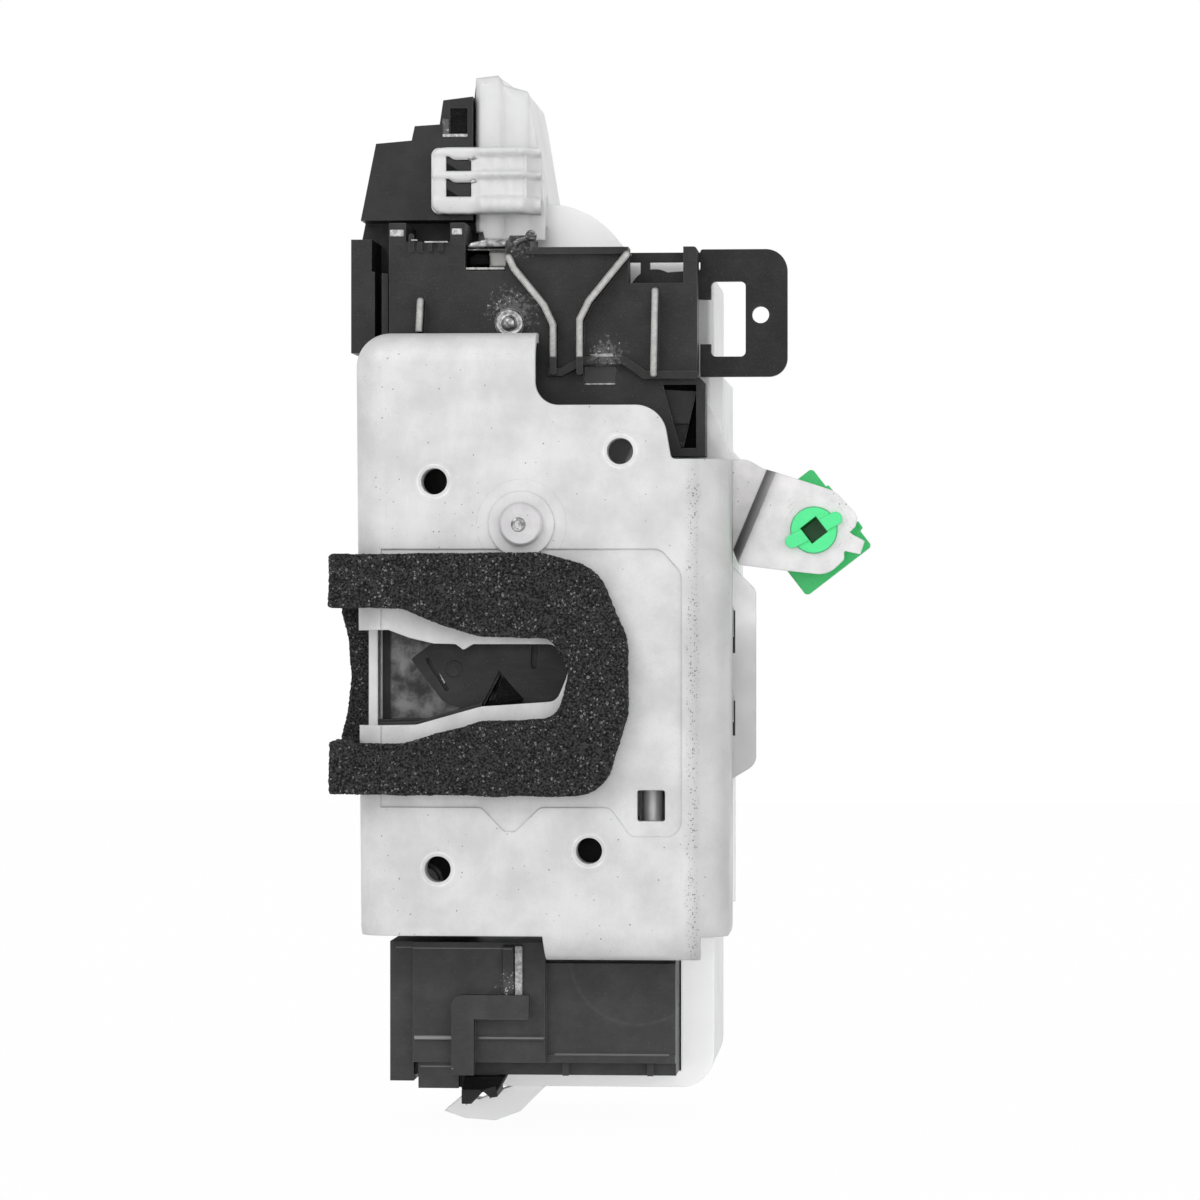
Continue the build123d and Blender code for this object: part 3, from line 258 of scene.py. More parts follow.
# %% Grease
grease, given, out = start_group("grease", [("Centre", (0.0, 0.0, 0.0)), ("Radius", 0.006)], ["Mask"])
away = vector_maths(grease, "DISTANCE", place_of(grease), given["Centre"])["Value"]
near = maths(grease, "SUBTRACT", 1.0, maths(grease, "DIVIDE", away, given["Radius"]))
ragged = maths(grease, "SUBTRACT", noise_of(grease, 0.0008, 4.0, 0.7), 0.58)
ragged = times(grease, ragged, 3.0)
grease.links.new(ramp(grease, maths(grease, "ADD", near, ragged), 0.1, 0.5), out["Mask"])

# %% [markdown]
# ** Ring mark** is a line round an axis that runs along Y: the painted highlight on the lip of a rolled collar
# and the painted shade just outside it, or the arc that a turning washer scrapes. It is the distance from the
# axis, folded about the ring's radius.

# %% Ring mark
ring_mark, given, out = start_group(
    "ring mark", [("Centre", (0.0, 0.0, 0.0)), ("Radius", 0.005), ("Width", 0.0005)], ["Mask"])
flat_place = place_of(ring_mark, stretch=(1, 0, 1))
reach = vector_maths(ring_mark, "DISTANCE", flat_place, given["Centre"])["Value"]
apart = maths(ring_mark, "ABSOLUTE", maths(ring_mark, "SUBTRACT", reach, given["Radius"]))
waver = times(ring_mark, noise_of(ring_mark, 0.002), given["Width"])
ring_mark.links.new(ramp(ring_mark, maths(ring_mark, "ADD", apart, waver), given["Width"], 0.0), out["Mask"])


# %% [markdown]
# ## Finishes
# Each finish starts the same way: a material with a Principled shader, a rounded edge for its normal, and a
# grain that bumps it. What differs is set after that. Sheet metal adds draw lines, pits and a painted
# highlight on its edges.

# %% A material with rounded, grained surfaces
def start_finish(name, edge_radius, grain_size, bump, cloud_size):
    print("finish:", name)
    material = bpy.data.materials.new(name)
    material.use_nodes = True
    tree = material.node_tree
    shader = tree.nodes["Principled BSDF"]
    edges = add_group(tree, edge_highlight_and_rounding, Radius=edge_radius, Breakup=0.5)
    texture = add_group(tree, grain, Size=grain_size, Cloud_size=cloud_size)
    relief = tree.nodes.new("ShaderNodeBump")
    wire(tree, relief, Distance=bump, Normal=edges["Normal"], Height=texture["Height"])
    wire(tree, shader, Normal=relief.outputs["Normal"])
    return material, tree, shader, edges["Mask"], texture


def axis_of(tree, name):
    split = tree.nodes.new("ShaderNodeSeparateXYZ")
    tree.links.new(place_of(tree), split.inputs["Vector"])
    return split.outputs[name]


def sheet_metal(name, light, dark, metal, rough, spots, spacing=1.1 * MM, cloud=7 * MM, stretch=(1, 1, 0.12)):
    material, tree, shader, edges, texture = start_finish(name, 0.35 * MM, 0.25 * MM, 0.012 * MM, cloud)
    colour = mix_colour(tree, ramp(tree, texture["Cloud"], 0.3, 0.7), dark, light)
    lines = add_group(tree, rub, Stretch=stretch, Size=1.2 * MM)["Mask"]
    colour = tint(tree, colour, lines, 0.25, dark)
    fine = ramp(tree, texture["Height"], 0.35, 0.75)
    colour = tint(tree, colour, fine, 0.14, tuple(0.55 * c for c in dark))
    pits = add_group(tree, specks, Spacing=spacing, Size=0.14, Amount=spots)["Mask"]
    colour = tint(tree, colour, pits, 0.75, grey(0.10))
    # Painted highlight: a pale line along every edge.
    colour = tint(tree, colour, edges, 0.35, grey(0.90))
    gloss = ramp(tree, texture["Cloud"], 0.2, 0.8, rough + 0.08, rough - 0.08)
    wire(tree, shader, Roughness=gloss, Metallic=metal)
    return material, tree, shader, colour


# %% [markdown]
# Many marks follow the part's own axes: a soft step along one axis, the distance from a plane across it, and
# a band between two planes with blurred ends. These take millimetres.

# %% Masks along an axis
def fade(tree, axis, low, high):
    return ramp(tree, axis_of(tree, axis), low * MM, high * MM)


def from_middle(tree, axis, middle):
    return maths(tree, "ABSOLUTE", maths(tree, "SUBTRACT", axis_of(tree, axis), middle * MM))


def between(tree, axis, low, high, blur):
    half_width = (high - low) / 2
    apart = from_middle(tree, axis, (low + high) / 2)
    return ramp(tree, apart, (half_width + blur[0]) * MM, (half_width - blur[1]) * MM)


def finished(material, tree, shader, colour):
    wire(tree, shader, Base_Color=colour)
    return material


# %% [markdown]
# ### Galvanised sheet
# The face plate is zinc coated steel, an even pale grey with a fine grain. Handling leaves tiny dark pits,
# most of them in a line up its right side, where plates rub on each other in the crate. The line is a band
# mask in X, filled with a denser set of the same specks. Right of it the sheet starts to fold away from the
# light, and a painted shade darkens it there. Each bolt hole has a rolled collar, with a painted highlight on
# its lip and a ring of painted shade just outside it.

# %% Galvanised sheet
scuff_x = 49.3
bolt_holes = [(0.0, 0.0), (35.5, 5.7), (0.7, -73.9), (29.6, -70.3)]
collar = 3.2 * MM


def ring_at(tree, x, z, radius, width):
    return add_group(tree, ring_mark, Centre=(x * MM, 0.0, z * MM), Radius=radius, Width=width)["Mask"]


galvanised, tree, shader, colour = sheet_metal(
    "galvanised sheet", (0.75, 0.753, 0.75), (0.615, 0.618, 0.615), 0.18, 0.5, -0.3, cloud=11 * MM)
# Painted shade where the sheet folds away right of X = 49 mm.
folding_shade = fade(tree, "X", 49.0, 50.2)
colour = tint(tree, colour, folding_shade, 0.38, grey(0.42))
across = from_middle(tree, "X", scuff_x)
wander = times(tree, noise_of(tree, 7 * MM), 2.4 * MM)
band = ramp(tree, maths(tree, "SUBTRACT", across, wander), 0.5 * MM, -1.1 * MM)
crumbs = add_group(tree, specks, Spacing=0.38 * MM, Size=0.5, Amount=0.42)["Mask"]
colour = tint(tree, colour, band, 0.25, grey(0.42))
colour = tint(tree, colour, times(tree, band, crumbs), 0.7, grey(0.07))
for x, z in bolt_holes:
    # Painted highlight on each collar's lip, and a ring of painted shade just outside it.
    lip_highlight = ring_at(tree, x, z, collar, 0.55 * MM)
    halo_shade = ring_at(tree, x, z, collar + 0.9 * MM, 0.8 * MM)
    colour = tint(tree, colour, halo_shade, 0.22, grey(0.45))
    colour = tint(tree, colour, lip_highlight, 0.9, grey(0.97))
washer_arc = ring_at(tree, 16.7, -8.2, 8.6 * MM, 0.3 * MM)
colour = tint(tree, colour, washer_arc, 0.5, grey(0.35))
wire(tree, shader, Base_Color=colour)

# %% [markdown]
# ### Plated and plain steel
# Levers and rivets are zinc plated. Plain steel is cloudy, with dark smears of oil. The claw's core is
# painted near black where it shows in the claw's slots, as painted shade for the slots. The back plate is pale
# where it stands in the open and oily in the throat, so it mixes the two along X. Its turned lip has a painted
# highlight, with a painted shadow beside it, and two short slits in its wing are painted as dark lines.

# %% Plated steel, plain steel, spring steel and copper
zinc_steel = finished(*sheet_metal(
    "zinc plated steel", (0.66, 0.65, 0.66), (0.56, 0.55, 0.56), 0.3, 0.42, -0.22, 1.3 * MM, 5 * MM))
plain_steel = finished(*sheet_metal(
    "plain steel", grey(0.55), (0.20, 0.20, 0.205), 0.5, 0.38, -0.15, 1.2 * MM, 3.5 * MM, (0.25, 1, 1)))
spring_steel = finished(*sheet_metal(
    "spring steel", (0.42, 0.42, 0.43), (0.28, 0.28, 0.29), 0.8, 0.3, -0.3, 0.8 * MM, 2 * MM))
copper = finished(*sheet_metal(
    "tinned copper", (0.72, 0.50, 0.34), (0.55, 0.34, 0.22), 0.8, 0.3, -0.3, 0.9 * MM, 3 * MM))

# %% Core painted black as slot shade, and the back plate: oily in the throat, bright on its wing
# Painted shade: the claw's core is near black so that its slots stay dark.
slot_shade_core_steel = finished(*sheet_metal(
    "core steel black for slot shade", grey(0.012), grey(0.005), 0.1, 0.5, -0.2, 1.2 * MM, 3.5 * MM))

back_steel, tree, shader, colour = sheet_metal(
    "back plate steel", grey(0.26), (0.04, 0.04, 0.042), 0.35, 0.4, -0.15, 1.2 * MM, 3.2 * MM, (0.3, 1, 1))
clean = mix_colour(tree, ramp(tree, noise_of(tree, 6 * MM, 4.0), 0.3, 0.7), grey(0.70), grey(0.80))
clean = tint(tree, clean, fade(tree, "Z", -26, -34), 0.7, grey(0.42))
colour = mix_colour(tree, fade(tree, "X", 26, 36), colour, clean)
# Painted shadow beside the back plate's turned lip, and a painted highlight on the lip.
shadow_beside_lip, lip_highlight = fade(tree, "X", -10.2, -10.8), fade(tree, "X", -12.1, -12.3)
colour = mix_colour(tree, shadow_beside_lip, colour, grey(0.006))
colour = mix_colour(tree, lip_highlight, colour, grey(0.72))
narrow = ramp(tree, from_middle(tree, "X", 56.3), 0.34 * MM, 0.24 * MM)
for low, high in ((-32.9, -24.6), (-48.9, -42.1)):
    length = between(tree, "Z", low, high, (0.1, 0.1))
    colour = tint(tree, colour, narrow, length, grey(0.02))
wire(tree, shader, Base_Color=colour)

# %% [markdown]
# ### The release lever's steel
# The lever is bent twice so that its tip stands nearer the door. The bend's sloped face is turned from the
# light, so a painted shade lays a dark band along it that fades towards the tip, and the rod clip has scraped
# arcs round its hole.

# %% Lever steel with painted shade in its bend
lever_steel, tree, shader, colour = sheet_metal(
    "lever steel", (0.80, 0.785, 0.795), (0.70, 0.69, 0.695), 0.25, 0.42, -0.05, 1.1 * MM, 4 * MM)
bend_foot = place_of(tree, 56.2 * MM, 0, -12.7 * MM)
across_bend = (0.922, 0, -0.386)
bend = vector_maths(tree, "DOT_PRODUCT", bend_foot, across_bend)["Value"]
# Painted shade: a dark band along the bend that fades towards the tip.
bend_shade = times(tree, ramp(tree, bend, 5.0 * MM, 0.0), ramp(tree, bend, -0.3 * MM, 0.1 * MM))
colour = mix_colour(tree, maths(tree, "POWER", bend_shade, 2.0), colour, grey(0.10))
for radius in (5.7, 6.6, 7.5):
    scrape = ring_at(tree, 71.9, -9.1, radius * MM, 0.22 * MM)
    streaks = ramp(tree, noise_of(tree, 1.6 * MM), 0.5, 0.62)
    colour = tint(tree, colour, times(tree, scrape, streaks), 0.6, grey(0.3))
wire(tree, shader, Base_Color=colour)


# %% [markdown]
# ### Black nylon
# The shield, the base, the levers and the connector are black glass-filled nylon: nearly black, slightly
# cloudy, with a pale line where light catches an edge and fine scratches from handling.

# %% Black nylon
def black_plastic(name, base=(0.014, 0.014, 0.0143), rough=0.46, edge_light=0.5):
    material, tree, shader, edges, texture = start_finish(name, 0.22 * MM, 0.22 * MM, 0.02 * MM, 6 * MM)
    pale = tuple(min(1, 1.35 * c + 0.002) for c in base)
    colour = mix_colour(tree, ramp(tree, texture["Cloud"], 0.35, 0.75), base, pale)
    dust = add_group(tree, specks, Spacing=0.6 * MM, Size=0.16, Amount=0.0)["Mask"]
    colour = tint(tree, colour, dust, 0.35, grey(0.16))
    lines = add_group(tree, rub, Stretch=(0.1, 1, 1), Size=0.5 * MM)["Mask"]
    colour = tint(tree, colour, lines, 0.06, grey(0.14))
    grit = ramp(tree, texture["Height"], 0.45, 0.8)
    colour = tint(tree, colour, grit, 0.16, grey(0.10))
    # Painted highlight: a pale line along the edges.
    colour = tint(tree, colour, edges, edge_light, grey(0.24))
    gloss = ramp(tree, texture["Cloud"], 0.25, 0.8, rough + 0.06, rough - 0.1)
    wire(tree, shader, Roughness=gloss, Specular_IOR_Level=0.3)
    return material, tree, shader, colour


black_nylon = finished(*black_plastic("black nylon"))
lever_nylon = finished(*black_plastic("lever nylon", grey(0.006), 0.5, 0.3))

# %% [markdown]
# ### The shield's nylon
# The water shield is the same nylon. Its ribs stand proud and have rubbed pale on the door, so the crests,
# everything in front of a certain Y, turn a pale grey along their middle. The funnel's two ribs stay black
# at their foot. Grease from the rivet and the rod's hook wets the wall around them, with grey glints in it
# that are painted highlights.

# %% The shield's nylon, with worn crests, and grease with painted glints
def grease_at(tree, x, y, z, radius):
    return add_group(tree, grease, Centre=(x * MM, y * MM, z * MM), Radius=radius * MM)["Mask"]


# Grease: a clear coat over the mask, and painted highlights, grey glints where a fine noise passes a
# threshold.
def wet_with_painted_glints(tree, shader, colour, mask, grain_size, threshold, tone):
    wire(tree, shader, Coat_Weight=times(tree, mask, 0.9), Coat_Roughness=0.08)
    fine = noise_of(tree, grain_size * MM, 2.0)
    return tint(tree, colour, mask, ramp(tree, fine, threshold, threshold + 0.06), grey(tone))


shield_nylon, tree, shader, colour = black_plastic("shield nylon")
crest = fade(tree, "Y", 8.25, 8.1)
funnel = times(tree, fade(tree, "X", 19, 19.5), fade(tree, "X", 37, 36.5))
lowered = maths(tree, "SUBTRACT", axis_of(tree, "Z"), times(tree, funnel, 4.1 * MM))
above = ramp(tree, lowered, 19.8 * MM, 20.2 * MM)
rim = add_group(tree, edge_highlight_and_rounding, Radius=0.62 * MM, Breakup=0.0)["Mask"]
middle = ramp(tree, rim, 0.19, 0.04)
bare = times(tree, times(tree, crest, above), middle)
worn = noise_of(tree, 1.1 * MM, 3.0, 0.6)
crest_colour = mix_colour(tree, ramp(tree, worn, 0.3, 0.7), (0.42, 0.42, 0.41), (0.56, 0.55, 0.54))
colour = mix_colour(tree, bare, colour, crest_colour)
at_rivet = grease_at(tree, 13.8, 12, 33.0, 6.5)
at_hook = grease_at(tree, 14.5, 10, 46.5, 5)
at_slot = grease_at(tree, 32.0, 11, 24.5, 5)
greased = maths(tree, "MAXIMUM", at_rivet, maths(tree, "MAXIMUM", at_hook, at_slot))
wire(tree, shader, Base_Color=wet_with_painted_glints(tree, shader, colour, greased, 0.45, 0.62, 0.42))

# %% [markdown]
# ### The connector's nylon
# Each ledge of the connector gets a painted highlight: a pale line where light catches it. The lines come from
# one list of heights and ends, in millimetres. A little grease has run down beside its seal, with grey glints
# in it that are painted highlights, and a plug has drawn a faint arc on the flat panel.

# %% The connector's nylon
connector_nylon, tree, shader, colour = black_plastic("connector nylon", (0.036, 0.036, 0.0365))
in_front = fade(tree, "Y", 20, 18)
ledge_highlights = [(-107.0, -5.2, 2.3, 0.5, 0.9), (-112.7, -4.2, 2.9, 0.2, 0.5), (-103.3, 7.0, 16.6, 0.2, 0.5),
          (-107.0, 7.4, 20.3, 0.22, 0.6), (-110.3, 21.8, 44.2, 0.22, 0.6), (-89.8, -9.0, 14.1, 0.18, 0.45)]
# Painted highlights: a pale line along each ledge.
for ledge_z, left, right, half_width, strength in ledge_highlights:
    close = from_middle(tree, "Z", ledge_z)
    line = ramp(tree, close, half_width * MM, 0.3 * half_width * MM)
    within = between(tree, "X", left, right, (0, 0.3))
    ledge_highlight = times(tree, times(tree, line, within), in_front)
    colour = tint(tree, colour, ledge_highlight, strength, grey(0.30))
drawn = ring_at(tree, 38.0, -91.5, 13.0 * MM, 1.3 * MM)
colour = tint(tree, colour, drawn, 0.3, grey(0.13))
smear = grease_at(tree, 13.2, 11.0, -96.5, 3.4)
wire(tree, shader, Base_Color=wet_with_painted_glints(tree, shader, colour, smear, 0.5, 0.6, 0.75))

# %% [markdown]
# ### Highlight and rub nylon, grease and deep shadow
# Post tops and thin lips of the nylon get a pale, nearly white finish that is a painted highlight, patchy
# from a noise; the same finish serves a pale seal strip, dried grease and a glint. Grease on bare metal is
# dark and wet, and the wet nylon's grey streaks are painted glints. The floors of blind slots hold no light at
# all, so they get the blackest finish, a painted shade that also fills gaps, pockets and sockets.

# %% Highlight and rub nylon, oily metal, wet nylon with glints and deep shade black
rub_and_highlight_nylon, tree, shader, colour = black_plastic("rub and highlight nylon", grey(0.30), 0.3, 0.5)
# Painted highlights: a pale, patchy finish for caps, lips and glints.
rubs_and_highlights = ramp(tree, noise_of(tree, 0.7 * MM, 3.0, 0.6), 0.35, 0.65)
wire(tree, shader, Base_Color=mix_colour(tree, rubs_and_highlights, colour, (0.66, 0.66, 0.65)))

oily_metal, tree, shader, colour = sheet_metal(
    "oily metal", grey(0.52), grey(0.10), 0.7, 0.22, -0.2, 0.7 * MM, 1.3 * MM)
wire(tree, shader, Base_Color=colour, Coat_Weight=0.8, Coat_Roughness=0.06)

wet_nylon_with_glints, tree, shader, colour = black_plastic("wet nylon with painted glints", grey(0.016), 0.3, 0.4)
# Painted glints: grey streaks over the wet nylon.
streaks = noise_of(tree, 0.5 * MM, 3.0, 0.6, place_of(tree, stretch=(0.35, 1, 1)))
colour = mix_colour(tree, ramp(tree, streaks, 0.56, 0.68), colour, grey(0.42))
wire(tree, shader, Base_Color=colour, Coat_Weight=0.9, Coat_Roughness=0.05)

# Painted shade: the blackest finish, for places that hold no light.
deep_shade_black, tree, shader, colour = black_plastic("deep shade black", grey(0.002), 0.7, 0.0)
wire(tree, shader, Base_Color=colour, Specular_IOR_Level=0.1)

# %% [markdown]
# ### Natural plastic
# The motor's case is unpigmented plastic, milky and a little see-through. A touch of subsurface light
# stands for that. A painted glow, an emission on the front faces of its dome, its outer edge and its lower
# corner, lifts these shaded places as if lit from behind. It keeps a faint cloudiness so that it never reads
# as flat white.

# %% Natural plastic and white acetal
def pale_plastic(name, light, dark, rough, depth, glow_strength):
    material, tree, shader, _, texture = start_finish(name, 0.5 * MM, 0.3 * MM, 0.008 * MM, 12 * MM)
    colour = mix_colour(tree, ramp(tree, texture["Cloud"], 0.25, 0.75), dark, light)
    dust = add_group(tree, specks, Spacing=1.6 * MM, Size=0.12, Amount=-0.25)["Mask"]
    colour = tint(tree, colour, dust, 0.5, (0.35, 0.34, 0.33))
    gloss = ramp(tree, texture["Cloud"], 0.2, 0.8, rough + 0.05, rough - 0.05)
    # Painted glow: emission on front faces where the case lies in shade.
    beside = fade(tree, "X", 18, 22)
    high_up = fade(tree, "Z", 42, 44)
    outer = fade(tree, "X", 50.5, 51.5)
    edge = maths(tree, "MAXIMUM", times(tree, beside, high_up), outer)
    dome = times(tree, edge, 0.6)
    corner = fade(tree, "Z", -84, -90)
    facing = tree.nodes.new("ShaderNodeSeparateXYZ")
    tree.links.new(tree.nodes.new("ShaderNodeTexCoord").outputs["Normal"], facing.inputs["Vector"])
    front = ramp(tree, facing.outputs["Y"], -0.3, -0.8)
    glowing = times(tree, maths(tree, "MAXIMUM", dome, corner), front)
    glow_colour = tint(tree, (0, 0, 0), glowing, glow_strength, (1, 1, 1))
    wire(tree, shader, Base_Color=colour, Roughness=gloss, Emission_Color=glow_colour, Emission_Strength=1.0)
    wire(tree, shader, Subsurface_Weight=depth, Subsurface_Radius=(1, 1, 1), Subsurface_Scale=2.0 * MM)
    return material


natural_plastic = pale_plastic("natural plastic", (0.78, 0.78, 0.785), (0.71, 0.71, 0.715), 0.36, 0.15, 0.34)
white_acetal = pale_plastic("white acetal", (0.80, 0.79, 0.76), (0.74, 0.73, 0.70), 0.3, 0.1, 0.0)

# %% [markdown]
# ### Green acetal
# The rod clip is bright green, so that a fitter can see that it is there. It is smooth and glossy. A painted
# shade darkens it deeper in, so it is paler in front, and a painted highlight lightens its edges.

# %% Green acetal
green_acetal, tree, shader, edges, texture = start_finish(
    "green acetal", 0.3 * MM, 0.4 * MM, 0.006 * MM, 4 * MM)
# Painted shade: the clip darkens deeper in along Y.
depth_shade = fade(tree, "Y", 17.5, 24.0)
colour = mix_colour(tree, depth_shade, (0.075, 0.88, 0.31), (0.022, 0.56, 0.14))
colour = tint(tree, colour, texture["Cloud"], 0.25, (0.03, 0.62, 0.19))
# Painted highlight along the edges.
colour = tint(tree, colour, edges, 0.3, (0.25, 0.92, 0.48))
wire(tree, shader, Base_Color=colour, Roughness=ramp(tree, texture["Height"], 0.3, 0.7, 0.34, 0.26))

# %% [markdown]
# ### Foam, rubber and silicone
# The seal is open foam. Close up, its broken cells are pale crumbs over deep shadows. A noise as fine as the
# cells gives the shadows, and specks laid over it are the crumbs. The rough mesh comes later. Rubber and
# silicone are smooth and dull, with a slow cloudiness.

# %% Foam, rubber and silicone
foam = bpy.data.materials.new("charcoal foam")
foam.use_nodes = True
tree = foam.node_tree
shader = tree.nodes["Principled BSDF"]
cells = noise_of(tree, 0.42 * MM, 3.0, 0.65)
colour = mix_colour(tree, ramp(tree, cells, 0.40, 0.62), (0.005, 0.005, 0.0055), (0.055, 0.055, 0.057))
crumbs = add_group(tree, specks, Spacing=0.62 * MM, Size=0.55, Amount=0.12)["Mask"]
lit = ramp(tree, noise_of(tree, 0.3 * MM, 2.0), 0.42, 0.6)
colour = tint(tree, colour, crumbs, lit, (0.24, 0.24, 0.245))
relief = tree.nodes.new("ShaderNodeBump")
wire(tree, relief, Distance=0.4 * MM, Height=cells)
wire(tree, shader, Base_Color=colour, Normal=relief.outputs["Normal"], Roughness=0.85, Specular_IOR_Level=0.2)


def soft_rubber(name, base):
    material, tree, shader, _, texture = start_finish(name, 0.3 * MM, 0.3 * MM, 0.02 * MM, 5 * MM)
    pale = tuple(min(1, 1.5 * c + 0.01) for c in base)
    gloss = ramp(tree, texture["Cloud"], 0.2, 0.8, 0.75, 0.55)
    colour = mix_colour(tree, ramp(tree, texture["Cloud"], 0.3, 0.7), base, pale)
    wire(tree, shader, Base_Color=colour, Roughness=gloss)
    return material


rubber = soft_rubber("black rubber", grey(0.02))
silicone = soft_rubber("silicone", (0.55, 0.20, 0.07))
print("finishes:", len(bpy.data.materials))

# %% [markdown]
# ## Dressing the CAD
# The record says which finish each CAD node has. Six nodes wear a version of their own, with marks that only
# they have.

# %% Give every CAD node its finish
finishes = dict(
    galvanised=galvanised, zinc_steel=zinc_steel, plain_steel=plain_steel, spring_steel=spring_steel,
    copper=copper, black_nylon=black_nylon, natural_plastic=natural_plastic, white_acetal=white_acetal,
    green_acetal=green_acetal, foam=foam, rubber=rubber, silicone=silicone)
own_finishes = dict(
    water_shield=shield_nylon, back_plate=back_steel, outside_release_lever=lever_steel,
    connector_housing=connector_nylon, key_lever=lever_nylon, fork_core=slot_shade_core_steel)
slot_of = {part["node"]: part["material_slot"] for part in frame["record"]["subparts"]}


def dress(piece, material):
    piece.data.materials.clear()
    piece.data.materials.append(material)


for name, piece in nodes.items():
    dress(piece, own_finishes.get(name, finishes[slot_of[name]]))
print("dressed", len(nodes), "nodes,", len(own_finishes), "with a finish of their own")

# %% [markdown]
# ## Foam seal
# The CAD's foam is a plain ring. A copy of its mesh is remeshed to fine, even faces and pushed in and out
# by noise as large as the foam's cells, so that its silhouette is ragged as the real one's is. Its skin
# also waves a little, because foam is cut with a die and stretched when it is stuck on, and the narrow strip
# that closes the mouth is drawn in at its middle. The new places are gathered first and written in one go, as
# each single change would make Blender work out all normals again.

# %% Foam seal
def remeshed_copy(name, source, voxel):
    piece = bpy.data.objects.new(name, source.data.copy())
    scene.collection.objects.link(piece)
    remesh = piece.modifiers.new("even faces", "REMESH")
    remesh.mode = "VOXEL"
    remesh.voxel_size = voxel
    shape = bpy.context.evaluated_depsgraph_get()
    mesh = bpy.data.meshes.new_from_object(piece.evaluated_get(shape))
    piece.modifiers.clear()
    piece.data = mesh
    return piece


def roughen(piece, cell, depth, wave):
    moved = []
    for vertex in piece.data.vertices:
        place = vertex.co
        fine = noise.noise(place / cell)
        coarse = noise.noise(place / (9 * cell))
        moved.extend(place + vertex.normal * (depth * fine + wave * coarse))
    piece.data.vertices.foreach_set("co", moved)
    piece.data.update()


def hollow_left(piece, middle_z, half_height, inner_x, width, depth):
    moved = []
    for vertex in piece.data.vertices:
        x, y, z = vertex.co
        along = min(1, abs(z - middle_z) / half_height)
        edge = min(1, max(0, (inner_x - x) / width))
        moved.extend((x + depth * edge * (1 - along * along), y, z))
    piece.data.vertices.foreach_set("co", moved)
    piece.data.update()


foam_ring = remeshed_copy("foam_ring", nodes["foam_seal"], 0.34 * MM)
hollow_left(foam_ring, middle_z=-36.9 * MM, half_height=11.9 * MM, inner_x=-13.7 * MM, width=3.8 * MM,
            depth=1.8 * MM)
roughen(foam_ring, cell=0.55 * MM, depth=0.22 * MM, wave=0.25 * MM)
dress(foam_ring, foam)
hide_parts("foam_seal")
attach(foam_ring, "latch_frame")
print("foam faces:", len(foam_ring.data.polygons))

# %% [markdown]
# ## Modelled details
# Moulded and worn details too fine for the CAD are meshes of their own, and so are some painted highlights and
# painted shadow sheets. Three kinds cover them all: a flat outline with thickness and rounded rims, a profile
# turned round an axis that runs along Y, and a soft skin whose depth is a formula. Sizes are in millimetres,
# as in the CAD. A piece is told its material, and a short table says which of the record's slots that material
# usually belongs to.

# %% Kinds of piece
usual_slot = {material.name: slot for slot, material in finishes.items()}
for moulded in (lever_nylon, connector_nylon, rub_and_highlight_nylon, wet_nylon_with_glints, deep_shade_black):
    usual_slot[moulded.name] = "black_nylon"
usual_slot[oily_metal.name] = "zinc_steel"


def add_piece(name, mesh, material, body="latch_frame"):
    piece = bpy.data.objects.new(name, mesh)
    scene.collection.objects.link(piece)
    dress(piece, material)
    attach(piece, body)
    print("piece:", name)
    return piece


def mesh_from(name, shape):
    mesh = bpy.data.meshes.new(name)
    shape.to_mesh(mesh)
    shape.free()
    return mesh


# %% Flat outline
def corners_of(left, right, bottom, top):
    return [(left, bottom), (right, bottom), (right, top), (left, top)]


def plate_piece(name, outline, front, back, rim, material, body="latch_frame"):
    shape = bmesh.new()
    near = [shape.verts.new((x * MM, front * MM, z * MM)) for x, z in outline]
    far = [shape.verts.new((x * MM, back * MM, z * MM)) for x, z in outline]
    shape.faces.new(near)
    shape.faces.new(list(reversed(far)))
    for here in range(len(outline)):
        after = (here + 1) % len(outline)
        shape.faces.new((near[here], far[here], far[after], near[after]))
    bmesh.ops.recalc_face_normals(shape, faces=shape.faces)
    bmesh.ops.bevel(shape, geom=shape.edges[:], offset=rim * MM, offset_type="OFFSET", segments=3,
                    profile=0.5, affect="EDGES", clamp_overlap=True)
    bmesh.ops.recalc_face_normals(shape, faces=shape.faces)
    add_piece(name, mesh_from(name, shape), material, body)


# %% Turned profile
def turned_piece(name, profile, x, z, material, body="latch_frame"):
    shape = bmesh.new()
    around = 48
    turns = [2 * math.pi * step / around for step in range(around)]
    rings = []
    for radius, y in profile:
        points = [Vector((x + radius * math.cos(a), y, z + radius * math.sin(a))) for a in turns]
        rings.append([shape.verts.new(point * MM) for point in points])
    shape.faces.new(rings[0])
    shape.faces.new(rings[-1])
    for inner, outer in zip(rings, rings[1:]):
        for step in range(around):
            after = (step + 1) % around
            shape.faces.new((inner[step], outer[step], outer[after], inner[after]))
    bmesh.ops.recalc_face_normals(shape, faces=shape.faces)
    piece = add_piece(name, mesh_from(name, shape), material, body)
    piece.data.shade_smooth()


# %% Soft skin
def skin_piece(name, columns, rows, place, skipped, thick, material):
    shape = bmesh.new()
    grid = [[shape.verts.new(Vector(place(x, row)) * MM) for x in columns] for row in rows]
    for up in range(len(rows) - 1):
        for along in range(len(columns) - 1):
            middle = (columns[along] + columns[along + 1]) / 2, (rows[up] + rows[up + 1]) / 2
            low, high = grid[up], grid[up + 1]
            if not skipped(*middle):
                shape.faces.new((low[along], low[along + 1], high[along + 1], high[along]))
    bmesh.ops.delete(shape, geom=[v for v in shape.verts if not v.link_faces], context="VERTS")
    piece = add_piece(name, mesh_from(name, shape), material)
    wall = piece.modifiers.new("wall", "SOLIDIFY")
    wall.thickness = thick * MM
    piece.data.shade_smooth()


